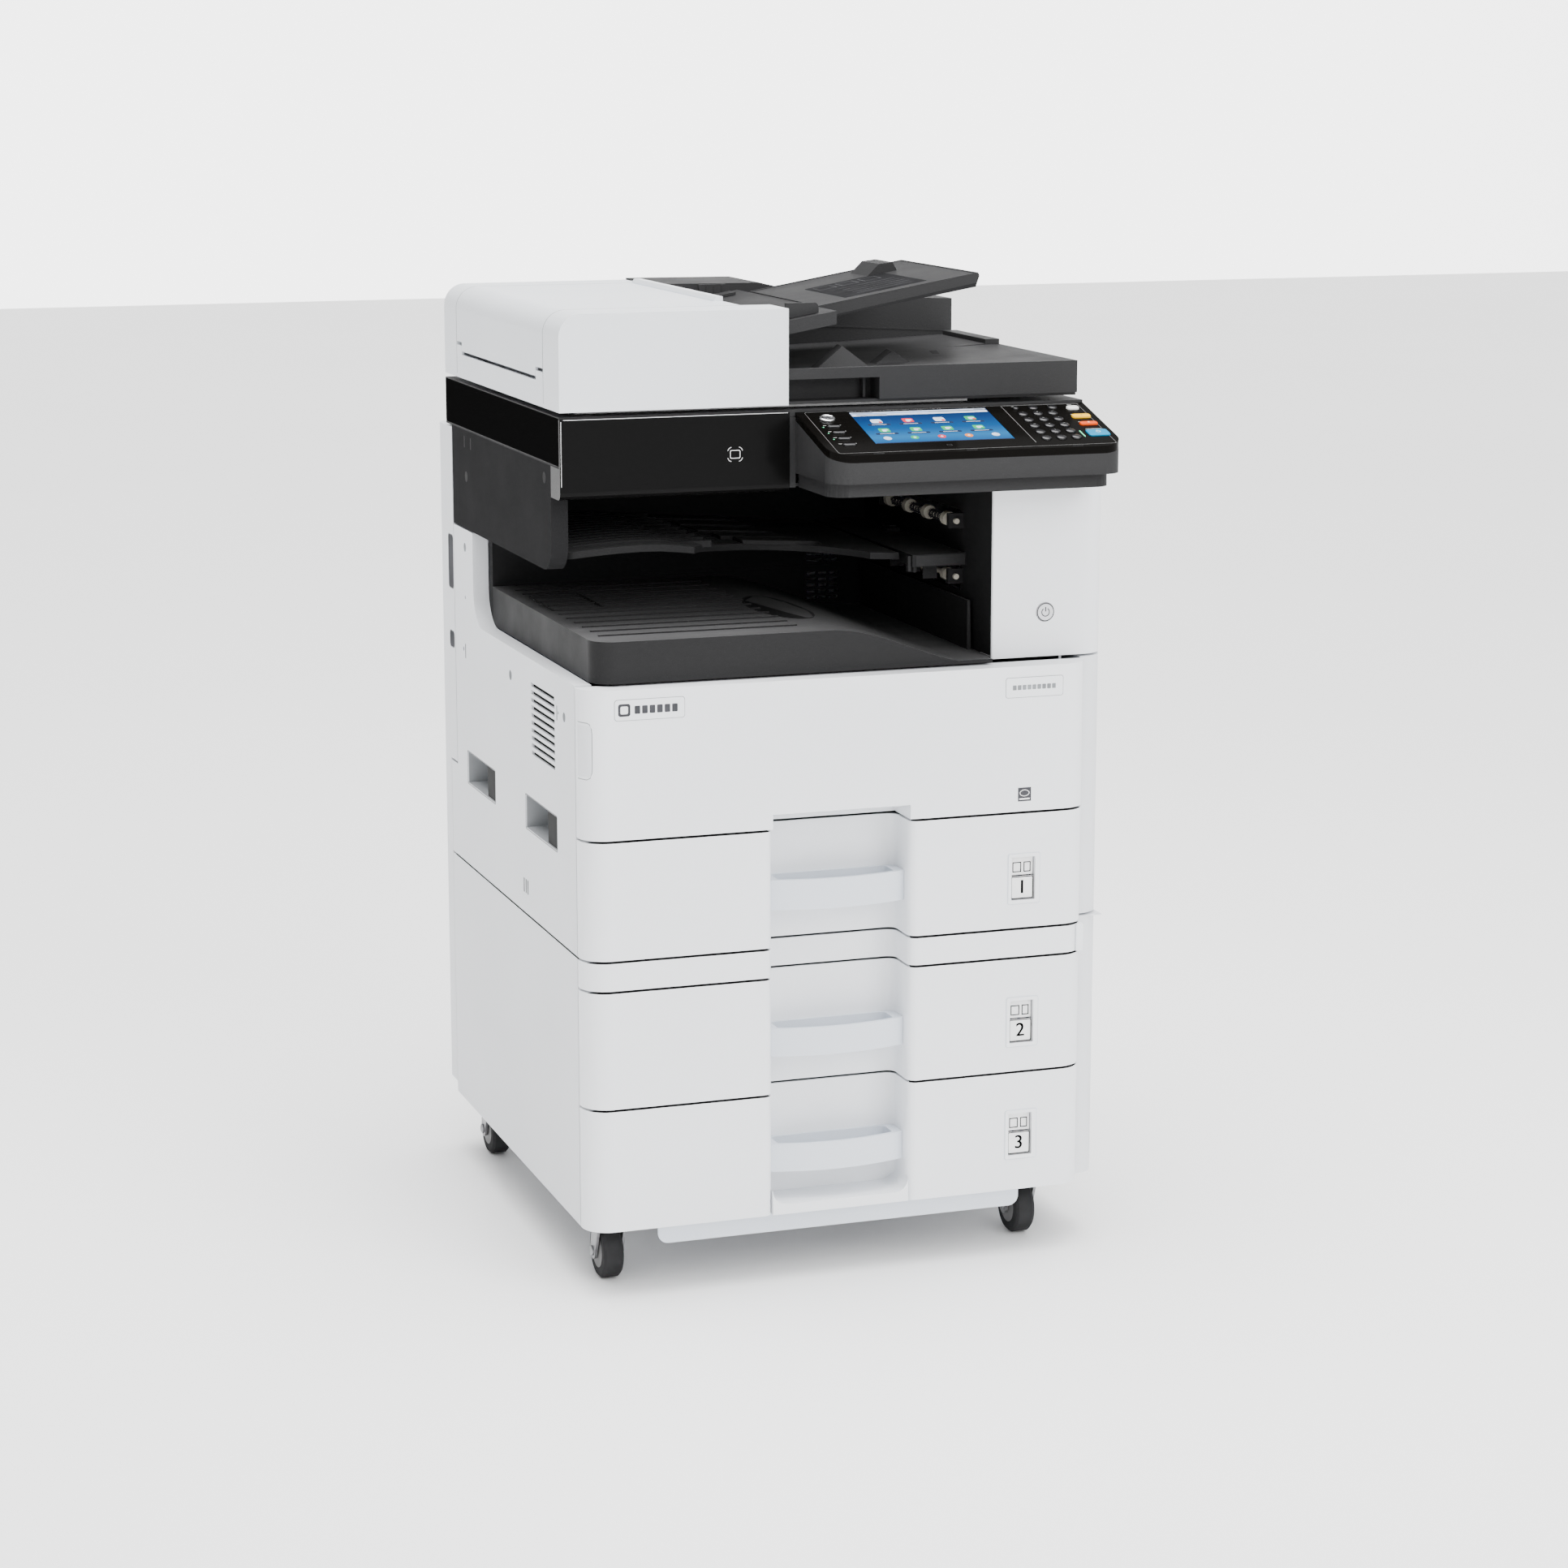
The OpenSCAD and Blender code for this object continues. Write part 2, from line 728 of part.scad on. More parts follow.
function hump(x) = 773 + 5 * sin(x - 22) - max(0, x - 120) * 0.062;
function separator_top(x) = hump(min(x, 200)) - max(0, x - 200) * 0.06;

module separator_tray() {
    steps = 18;
    x = [22, 394];
    y = [140, cavity_d];
    t = 7;
    z = [720, 800];
    u = [for (i = [0:steps]) x[0] + (x[1] - x[0]) * i / steps];
    color("#333333") {
        intersection() {
            run_y(y) polygon(concat([for (i = [0:steps]) [u[i], separator_top(u[i])]],
                [for (i = [steps:-1:0]) [u[i], separator_top(u[i]) - t]]));
            difference() {
                rise(z) round_rect(x, y, [12, 0, 0, 0]);
                // scoop that lets a hand reach the lower sheets
                rod_z(262, 92, z, 220);
            }
        }
        for (i = [0:8]) block([30, 190], [165 + 29 * i, 168 + 29 * i], [769, 776]);
    }
}

module exit_shelf() {
    x = [400, cavity_right];
    y = [115, cavity_d];
    color("#2c2c2c") {
        difference() {
            block(x, y, [744, 757]);
            block([x[0] + wall, x[1] + 1], [y[0] + 4, y[1] + 1], [743, 754]);
        }
        block([394.2, x[0] + 2], [262, cavity_d], [748, 753]);
        for (i = [0:5]) block([420, 436], [135 + 50 * i, 138 + 50 * i], [728, 755]);
        for (post_y = [120, 130]) rod_z(x[0] + 4, post_y, [738, 755], 5);
    }
}

module pillar_cover() {
    z = [cavity_z + seam / 2, panel_low[0] - eps];
    x = [cavity_right, side_x1];
    y = [38, 70];
    hole_d = button_d + 1;
    color("whitesmoke") {
        difference() {
            rise(z) round_rect(x, y, [2, corner_r, 0, 0]);
            rise([z[0] + wall, z[1] - wall])
                round_rect([x[0] - 1, x[1] - wall], [y[0] + wall, y[1] + 1], [0, corner_r - wall, 0, 0]);
            rod_y(button_at[0], [y[0] - 1, y[0] + 5], button_at[1], hole_d);
        }
        difference() {
            rod_y(button_at[0], [y[0] + 2, y[0] + 14], button_at[1], hole_d + 5);
            rod_y(button_at[0], [y[0], y[0] + 12], button_at[1], hole_d);
        }
    }
}

module power_button() {
    color("lightgray") rod_y(button_at[0], [37, 46], button_at[1], button_d);
}

// ---------- scanner ----------

module scanner_side_panel() {
    y = [114, 534.7];
    z = [cavity_z + 105, scanner_z];
    color("#2a2a2a") difference() {
        run_x([0, tray_x[0]]) round_rect(y, z, [30, 0, 0, 0]);
        run_x([wall, tray_x[0] - wall])
            round_rect([y[0] + wall, y[1] - wall], [z[0] + wall, z[1] + 1], [27, 0, 0, 0]);
    }
}

module scanner_housing() {
    x = [0, scanner_w];
    y = [scanner_y + wall, scanner_back];
    z = [scanner_z, scanner_top];
    color("#4a4a4a") difference() {
        union() {
            block(x, y, z);
            block([frame_right + 6, scanner_w], [84, 534.7], [ceiling_z - 8, scanner_z + 1]);
            hinge_lugs();
        }
        block([x[0] + wall, x[1] - wall], [y[0] + wall, y[1] - wall], [z[0] + wall, z[1] - wall]);
        block([22, 458], [100, 412], [z[1] - 5, z[1] + 1]);
        block([frame_right + 9, scanner_w - wall], [87, 531], [ceiling_z - 9, scanner_z - 3]);
    }
    // guide rods of the carriage
    color("silver") for (y = rod_at) rod_x([2, scanner_w - 2], y, scanner_z + rod_up, rod_d);
}

// lugs with the pins that the document feeder swings on
module hinge_lugs() {
    for (x = feeder_hinge_x, side = [-6, knuckle_w + gap]) {
        lug = [x + side, x + side + 5.4];
        rod_x(lug, feeder_hinge[0], feeder_hinge[1], 12);
        block(lug, [scanner_back - 1, feeder_hinge[0] + 6], [scanner_z + 20, feeder_hinge[1]]);
    }
    for (x = feeder_hinge_x) {
        rod_x([x - 4, x + knuckle_w + 4], feeder_hinge[0], feeder_hinge[1], pin_d);
    }
}

module scanner_front_panel() {
    low = ceiling_z - 2;
    r = 8;
    color("#0c0c0c") {
        run_x([0, 248]) difference() {
            round_rect([scanner_y, 104], [low, scanner_top - 2], [r, 0, 0, 0]);
            round_rect([scanner_y + wall, 105], [low + wall, scanner_top + 1], [r - wall, 0, 0, 0]);
        }
        // end that closes the space under the housing
        run_x([0, wall]) round_rect([scanner_y, 113.7], [low, scanner_z], [r, 0, 0, 0]);
    }
}

module platen_glass() {
    color("lightcyan") block([22, 458], [100, 412], [scanner_top - 5, scanner_top]);
}

module scan_carriage() {
    x = [30, 66];
    z = [scanner_z + 10, scanner_z + 36];
    color("#303030") difference() {
        block(x, [95, 530], z);
        for (y = rod_at) {
            rod_x([x[0] - 1, x[1] + 1], y, scanner_z + rod_up, rod_d + 2 * play);
        }
        block([40, 56], [125, 495], [z[1] - 12, z[1] + 1]);
    }
}

// ---------- control panel ----------

function panel_z(y) = panel_z0 + panel_slope * y;

module panel_plan(inset = 0) {
    r = 25;
    round_rect([panel_x0 + inset, panel_x1 - inset], [panel_front + inset, panel_back],
        [r - inset, r - inset, 0, 0]);
}

// layer that follows the sloping top face, between two depths under it
module sloping_layer(x, y, from, to) {
    run_x(x) polygon([[y[0], panel_z(y[0]) - to], [y[1], panel_z(y[1]) - to],
        [y[1], panel_z(y[1]) - from], [y[0], panel_z(y[0]) - from]]);
}

// place on the sloping face, with Z square to it
module on_panel(x, y) {
    translate([x, y, panel_z(y)]) rotate([panel_tilt, 0, 0]) children();
}

module panel_housing() {
    low_y = [panel_front + 15, panel_back];
    x = [panel_x0 + 4, panel_x1 - 8];
    color("#4a4a4a") {
        difference() {
            rise([panel_low[1], 930]) panel_plan();
            sloping_layer([0, 700], [-60, 120], -60, bezel_t);
            intersection() {
                rise([panel_low[1] + wall, 930]) panel_plan(wall);
                sloping_layer([0, 700], [-60, panel_back - wall], bezel_t + wall, 120);
            }
        }
        rise([panel_low[0], panel_low[1]]) round_rect(x, low_y, [20, 20, 0, 0]);
        block([248.5, panel_x0], [scanner_y + 1, panel_back], [panel_low[0], scanner_top - 8]);
    }
}

// upright cylinders at the places of the round keys, grown by some slack
module round_keys(z, slack = 0) {
    for (x = key_x, y = key_y) on_panel(x, y) rod_z(0, 0, z, digit_d + 2 * slack);
    for (i = [1, 2]) on_panel(key_row[i], key_row_y) rod_z(0, 0, z, digit_d + 2 * slack);
    on_panel(key_row[0], key_row_y) rod_z(0, 0, z, small_d + 2 * slack);
}

module oval_keys(z, slack = 0) {
    for (y = oval_key[1]) on_panel(oval_key[0], y) key_block([14, 5], 2.4, z, slack);
}

module silver_key(z, slack = 0) {
    on_panel(round_key[0], round_key[1]) rod_z(0, 0, z, round_d + 2 * slack);
}

// light key above the coloured ones
module small_key(z, slack = 0) {
    on_panel(side_key_x, 66) key_block([14, 9], 4, z, slack);
}

module yellow_shape(z, slack = 0) {
    on_panel(side_key_x, 43) key_block([21, 9], 3, z, slack);
}

module orange_shape(z, slack = 0) {
    on_panel(side_key_x, 23) key_block([20, 8], 3, z, slack);
}

module blue_shape(z, slack = 0) {
    on_panel(side_key_x, -2) key_block([24, 16], 3, z, slack);
}

module key_holes() {
    z = [-5.5, 1];
    slack = gap / 2;
    round_keys(z, slack);
    oval_keys(z, slack);
    silver_key(z, slack);
    small_key(z, slack);
    yellow_shape(z, slack);
    orange_shape(z, slack);
    blue_shape(z, slack);
}

// key with rounded corners, grown by some slack
module key_block(size, r, z, slack = 0) {
    a = size[0] / 2 + slack;
    b = size[1] / 2 + slack;
    rise(z) round_rect([-a, a], [-b, b], [r, r, r, r]);
}

module panel_bezel() {
    color("#241f1c") difference() {
        intersection() {
            rise([panel_low[1], 930]) panel_plan();
            sloping_layer([0, 700], [-60, 120], 0, bezel_t);
        }
        sloping_layer(screen_x, screen_y, -1, screen_drop);
        key_holes();
    }
}

module touch_screen() {
    color("steelblue") sloping_layer(screen_x, screen_y, eps, screen_drop);
}

module panel_keys() {
    color("#1a1a1a") {
        round_keys(key_z);
        oval_keys(key_z);
    }
    color("silver") silver_key(key_z);
    color("whitesmoke") small_key(key_z);
}

module reset_key() {
    color("gold") yellow_shape(key_z);
}

module stop_key() {
    color("darkorange") orange_shape(key_z);
}

module start_key() {
    color("deepskyblue") blue_shape(key_z);
}

// ---------- document feeder ----------

module feeder_profile(x1, z0, inset) {
    round_rect([inset, x1], [z0, feeder_top - inset], [0, 0, 0, feeder_r - inset]);
}

module feeder_base() {
    y = [top_y[0] - 0.5, top_y[1] + 0.5];
    z = feeder_z;
    color("whitesmoke") {
        block([0, top_x1], y, [z, z + wall]);
        block([top_x1 - 1, feeder_w], [y[0], rear_y0], [z, z + wall]);
        block([0, wall], y, [z, z + 26]);
        for (end = [[y[0], 168], [483, y[1]]]) block([0, wall], end, [z, z + 36]);
    }
    color("#303030") {
        difference() {
            block([32, 212], [150, 494], [z + 1, z + 59]);
            block([35, 209], [153, 491], [z - 1, z + 56]);
        }
        for (lug = [[190, 198], [440, 448]]) {
            difference() {
                block([feed_axis[0] - 10, feed_axis[0] + 10], lug, [z + 58, feed_axis[1] + 8]);
                rod_y(feed_axis[0], [lug[0] - 1, lug[1] + 1], feed_axis[1], feed_shaft_d + 2 * play);
            }
        }
        // sloping throat that leads the sheets in
        difference() {
            run_y([141, 447]) polygon([[218, z + 1], [feeder_w, z + 1], [feeder_w, z + 79],
                [218, z + 74]]);
            run_y([144, 444]) polygon([[221, z - 1], [feeder_w + 1, z - 1], [feeder_w + 1, z + 20],
                [feeder_w - 3, z + 20], [feeder_w - 3, z + 74], [221, z + 70]]);
        }
        // lugs and pin of the document tray
        for (y = tray_lugs) {
            block([feeder_w - 4, tray_pivot[0]], y, [tray_pivot[1] - 5, tray_pivot[1] + 5]);
            rod_y(tray_pivot[0], y, tray_pivot[1], 10);
            rod_y(tray_pivot[0], [y[0] - 6, y[1] + 6], tray_pivot[1], tray_pin_d);
        }
    }
}

module feeder_end_caps() {
    front = [scanner_y, top_y[0] - 0.5];
    rear = [top_y[1] + 0.5, scanner_back];
    z = feeder_z;
    color("whitesmoke") {
        difference() {
            run_y(front) feeder_profile(feeder_w, z, 0);
            run_y([front[0] + wall, front[1] - wall]) feeder_profile(feeder_w - wall, z - 1, wall);
        }
        difference() {
            run_y(rear) feeder_profile(top_x1, z, 0);
            run_y([rear[0] + wall, rear[1] - wall]) feeder_profile(top_x1 - wall, z - 1, wall);
        }
        // pins of the top cover
        rod_y(top_hinge[0], [front[1] - 1, top_y[0] + 9], top_hinge[1], top_pin_d);
        rod_y(top_hinge[0], [top_y[1] - 9, rear[0] + 1], top_hinge[1], top_pin_d);
    }
}

module feeder_top_cover() {
    y = [top_y[0] + 0.3, top_y[1] - 0.3];
    z = feeder_z + 30;
    color("whitesmoke") difference() {
        union() {
            difference() {
                run_y(y) feeder_profile(top_x1, z, 0);
                run_y([y[0] - 1, y[1] + 1]) feeder_profile(top_x1 + 1, z - 1, wall);
                for (end = [[y[0] - 1, 169], [482, y[1] + 1]]) {
                    block([-1, wall + 1], end, [z - 1, feeder_z + 40]);
                }
            }
            for (end = [[y[0] + 1, y[0] + 10], [y[1] - 10, y[1] - 1]]) {
                block([wall - 1, 13], end, [top_hinge[1] - 6, top_hinge[1] + 6]);
            }
            // finger ridge along the free edge
            run_y([200, y[1]]) polygon([[top_x1 - 11, feeder_top - 1], [top_x1, feeder_top - 1],
                [top_x1, feeder_top + 5], [top_x1 - 7, feeder_top + 5]]);
        }
        for (end = [[y[0] - 1, y[0] + 11], [y[1] - 11, y[1] + 1]]) {
            rod_y(top_hinge[0], end, top_hinge[1], top_pin_d + 2 * play);
        }
    }
}

module feed_roller() {
    color("silver") rod_y(feed_axis[0], [186, 452], feed_axis[1], feed_shaft_d);
    color("#202020") for (y = [255, 305, 355]) rod_y(feed_axis[0], [y, y + 30], feed_axis[1], 24);
}

module platen_pad() {
    color("white") block([24, 456], [102, 410], [feeder_z - 4, feeder_z]);
}

module eject_table() {
    x = [feeder_w, 574];
    y = [82, rear_y0];
    z = feeder_z + 3;
    color("#454545") difference() {
        block(x, y, [z, eject_top]);
        // floor that dips towards the feeder
        run_y([y[0] + 9, y[1] + 1]) polygon([[x[0] - 1, z + 27], [330, z + 26], [440, z + 29],
            [556, eject_top], [556, eject_top + 1], [x[0] - 1, eject_top + 1]]);
        block([x[0] - 1, 349], [y[0] - 1, y[0] + 27], [z - 1, z + 23]);
        block([x[0] + wall, x[1] - wall], [y[0] + 30, y[1] - wall], [z - 1, z + 22]);
    }
    // bottom plate that closes the table over the glass
    color("#303030") block([x[0], x[1]], [y[0] + 4, y[1]], [feeder_z, z]);
}

module feeder_rear_housing() {
    x = [top_x1, 574];
    y = [rear_y0, scanner_back];
    z = feeder_z;
    outline = [[x[0], z], [x[1], z], [x[1], z + 78], [410, z + 84], [340, z + 101], [x[0], z + 102]];
    color("#404040") {
        difference() {
            run_y(y) polygon(outline);
            run_y([y[0] + wall, y[1] - wall]) polygon([[x[0] + wall, z - 1], [x[1] - wall, z - 1],
                [x[1] - wall, z + 75], [409, z + 81], [339, z + 98], [x[0] + wall, z + 99]]);
        }
        hinge_knuckles();
    }
}

// knuckles that turn on the pins of the scanner housing
module hinge_knuckles() {
    for (x = feeder_hinge_x) {
        difference() {
            union() {
                rod_x([x, x + knuckle_w], feeder_hinge[0], feeder_hinge[1], 12);
                block([x, x + knuckle_w], [scanner_back, feeder_hinge[0]], [feeder_z, feeder_z + 12]);
            }
            rod_x([x - 1, x + knuckle_w + 1], feeder_hinge[0], feeder_hinge[1], pin_d + 2 * play);
        }
    }
}

function tray_z(x) = tray_pivot[1] - 0.5 + tray_rise * (x - top_x1);

module document_tray() {
    base_x = [252, 312];
    tray_x0 = 300;
    t = 14;
    color("#454545") difference() {
        union() {
            run_y([112, 446]) polygon([[base_x[0], tray_z(base_x[0]) - t],
                [base_x[1], tray_z(base_x[1]) - t], [base_x[1], tray_z(base_x[1])],
                [base_x[0], tray_z(base_x[0])]]);
            run_y(tray_y) polygon([[tray_x0, tray_z(tray_x0) - t],
                [tray_x1 - 4, tray_z(tray_x1) - t], [tray_x1, tray_z(tray_x1) - 3],
                [tray_x1 - 1, tray_z(tray_x1)], [tray_x0, tray_z(tray_x0)]]);
            // stop ledge at the far end
            run_y([330, 385]) polygon([[425, tray_z(425) - 1], [462, tray_z(462) - 1],
                [456, tray_z(462) + 9], [440, tray_z(440) + 11]]);
        }
        for (lug = tray_lugs) {
            block([base_x[0] - 1, tray_pivot[0] + 8], [lug[0] - 1, lug[1] + 1], [980, 1020]);
            rod_y(tray_pivot[0], [lug[0] - 8, lug[1] + 8], tray_pivot[1], tray_pin_d + 2 * play);
        }
    }
}

// plate that keeps the sheets straight, with a foot that slides on the tray
module guide(y, foot) {
    x = [260, 296];
    top = 1028;
    lift = eps;
    t = 3;
    color("#303030") {
        run_y([y, y + 5]) difference() {
            round_rect(x, [tray_z(x[0]) - 2, top], [0, 0, 5, 0]);
            polygon([[x[0] - 1, 980], [x[1] + 1, 980], [x[1] + 1, tray_z(x[1] + 1) + lift],
                [x[0] - 1, tray_z(x[0] - 1) + lift]]);
        }
        run_y(foot) polygon([[x[0], tray_z(x[0]) + lift], [x[1], tray_z(x[1]) + lift],
            [x[1], tray_z(x[1]) + lift + t], [x[0], tray_z(x[0]) + lift + t]]);
    }
}

module guide_front() {
    guide(124, [124, 152]);
}

module guide_rear() {
    guide(425, [402, 430]);
}

// ---------- inside the print unit ----------

module drum_unit() {
    z = inner_z;
    x = [150, 430];
    y = [62, 426];
    color("#3c4a55") {
        block(x, y, [z, z + 8]);
        for (end = [y[0], y[1] - 6]) block(x, [end, end + 6], [z, z + 76]);
    }
    color("seagreen") for (drum = drum_x) rod_y(drum, [y[0] + 5, y[1] - 5], z + 42, 30);
}

module toner_bottles() {
    z = inner_z + 76;
    color("#2b2b2b") {
        for (y = [64, 414]) block([150, 430], [y, y + 8], [z, z + 30]);
        for (x = drum_x) rod_y(x, [60, 422], z + 30, 48);
    }
}

module fuser_unit() {
    z = inner_z;
    x = [470, 540];
    y = [80, 426];
    color("#555555") {
        block(x, y, [z, z + 6]);
        for (end = [y[0], y[1] - 6]) block(x, [end, end + 6], [z, z + 110]);
        block([x[0], x[0] + 4], y, [z, z + 110]);
    }
    color("maroon") for (roll = [492, 522]) rod_y(roll, [y[0] + 5, y[1] - 5], z + 70, 28);
}

// ---------- casters ----------

// swivelling fork, drawn round its own swivel axis
module caster_fork(i, j) {
    x = caster_x[i];
    y = caster_y[j];
    leg = wheel_w / 2 + 2;
    crown = [63, 66];
    axle = [y + caster_trail, wheel_d / 2];
    color("darkgray") {
        rod_z(x, y, [crown[1] - 1, base_z + 8], stem_d);
        rod_z(x, y, [crown[1] - 1, plate_z - 0.5], stem_d + 8);
        rod_z(x, y, crown, 34);
        block([x - leg - 3, x + leg + 3], [y - 10, y + 14], crown);
        for (side = [-1, 1]) {
            run_x([x + side * (leg + 1.5) - 1.5, x + side * (leg + 1.5) + 1.5]) union() {
                polygon([[y - 10, crown[1]], [y + 14, crown[1]], [axle[0] + 9, axle[1]],
                    [axle[0] - 9, axle[1]]]);
                translate([axle[0], axle[1]]) circle(9);
            }
        }
        rod_x([x - leg - 5, x + leg + 5], axle[0], axle[1], axle_d);
    }
}

module caster_wheel(i, j) {
    x = caster_x[i];
    y = caster_y[j] + caster_trail;
    half = wheel_w / 2;
    color("#222222") translate([x - half, y, wheel_d / 2]) rotate([0, 90, 0]) rotate_extrude()
        polygon([[axle_d / 2 + play, 0], [wheel_d / 2 - 3, 0], [wheel_d / 2, 3],
            [wheel_d / 2, wheel_w - 3], [wheel_d / 2 - 3, wheel_w], [axle_d / 2 + play, wheel_w]]);
}

// ---------- the whole machine, on the origin ----------

module centred() {
    translate([-cabinet_w / 2, -(panel_front + cabinet_d) / 2, 0]) children();
}

centred() cabinet_frame();
centred() left_cover_lower();
centred() left_cover_upper();
centred() rear_cover();
centred() feeder_band();
centred() base_stopper();
centred() output_tray();
centred() cavity_wall();
centred() separator_tray();
centred() exit_shelf();
centred() pillar_cover();
centred() scanner_side_panel();
centred() scanner_housing();
centred() scanner_front_panel();
centred() platen_glass();
centred() panel_housing();
centred() panel_bezel();
centred() touch_screen();
centred() drum_unit();
centred() fuser_unit();
centred() toner_bottles();
centred() exit_rollers_upper();
centred() exit_rollers_lower();
centred() front_cover();
centred() drawer_front(0);  // drawer_1_front
centred() drawer_front(1);  // drawer_2_front
centred() drawer_front(2);  // drawer_3_front
centred() drawer_handle(0);  // drawer_1_handle
centred() drawer_handle(1);  // drawer_2_handle
centred() drawer_handle(2);  // drawer_3_handle
centred() drawer_box(0);  // drawer_1_box
centred() drawer_box(1);  // drawer_2_box
centred() drawer_box(2);  // drawer_3_box
centred() feeder_base();
centred() feeder_end_caps();
centred() platen_pad();
centred() feeder_rear_housing();
centred() eject_table();
centred() feeder_top_cover();
centred() document_tray();
centred() guide_front();
centred() guide_rear();
centred() feed_roller();
centred() right_cover_upper();
centred() right_cover_lower();
centred() bypass_tray();
centred() scan_carriage();
centred() power_button();
centred() caster_fork(0, 0);  // caster_fork_front_left
centred() caster_fork(1, 0);  // caster_fork_front_right
centred() caster_fork(0, 1);  // caster_fork_rear_left
centred() caster_fork(1, 1);  // caster_fork_rear_right
centred() caster_wheel(0, 0);  // caster_wheel_front_left
centred() caster_wheel(1, 0);  // caster_wheel_front_right
centred() caster_wheel(0, 1);  // caster_wheel_rear_left
centred() caster_wheel(1, 1);  // caster_wheel_rear_right
centred() start_key();
centred() stop_key();
centred() reset_key();
centred() panel_keys();
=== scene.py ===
"""Office photocopier: finishes, fine detail, floor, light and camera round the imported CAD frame."""
import json
import math

import bmesh
import bpy
from mathutils import Euler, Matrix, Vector


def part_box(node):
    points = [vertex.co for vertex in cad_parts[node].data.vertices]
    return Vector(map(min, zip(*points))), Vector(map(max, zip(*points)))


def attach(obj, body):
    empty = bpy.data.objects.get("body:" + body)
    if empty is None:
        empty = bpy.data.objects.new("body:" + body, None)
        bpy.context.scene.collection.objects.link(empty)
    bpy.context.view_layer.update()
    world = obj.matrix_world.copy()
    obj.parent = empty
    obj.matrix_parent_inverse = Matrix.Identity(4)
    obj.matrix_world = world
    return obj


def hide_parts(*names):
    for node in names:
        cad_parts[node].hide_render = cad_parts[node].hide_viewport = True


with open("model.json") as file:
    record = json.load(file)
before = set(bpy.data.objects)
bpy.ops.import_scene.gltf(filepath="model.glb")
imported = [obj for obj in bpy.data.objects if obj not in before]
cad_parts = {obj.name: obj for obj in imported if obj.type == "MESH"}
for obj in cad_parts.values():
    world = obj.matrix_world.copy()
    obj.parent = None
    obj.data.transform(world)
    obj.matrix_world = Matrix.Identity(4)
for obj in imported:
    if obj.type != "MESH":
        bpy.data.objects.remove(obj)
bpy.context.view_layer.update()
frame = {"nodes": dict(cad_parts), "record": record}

MM = 0.001
# layout corner: left side plane, front plane of the drawers, floor
CORNER = Vector((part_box("left_cover_lower")[0][0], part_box("drawer_1_front")[0][1], 0.0))
PANEL_TILT = math.radians(16)
PANEL_HEIGHT = 895.0
# front: width, corner radius and the handle niche between its two flat parts
FRONT_WIDTH, CORNER_R = 560, 28
NICHE = (203, 356)
FEEDER_TOP = 1026
SCANNER_FRONT = 78
PILLAR_FRONT = 37
RIGHT_SIDE = 594
BACK_WALL = 605
# how far the inlays reach into the surface, and how deep the display lies in the panel
INLAY_LOW, SCREEN_DROP = -0.5, 0.5
# output tray: height of its flat part, where its fall starts, length and half the depth of the fall
TRAY_FLAT, FALL_START, FALL_LENGTH, FALL_HALF = 697.0, 270, 185, 22.5


def at(x, y, z):
    """Point in the row frame from layout millimetres."""
    return CORNER + Vector((x, y, z)) * MM


# ---------- materials ----------

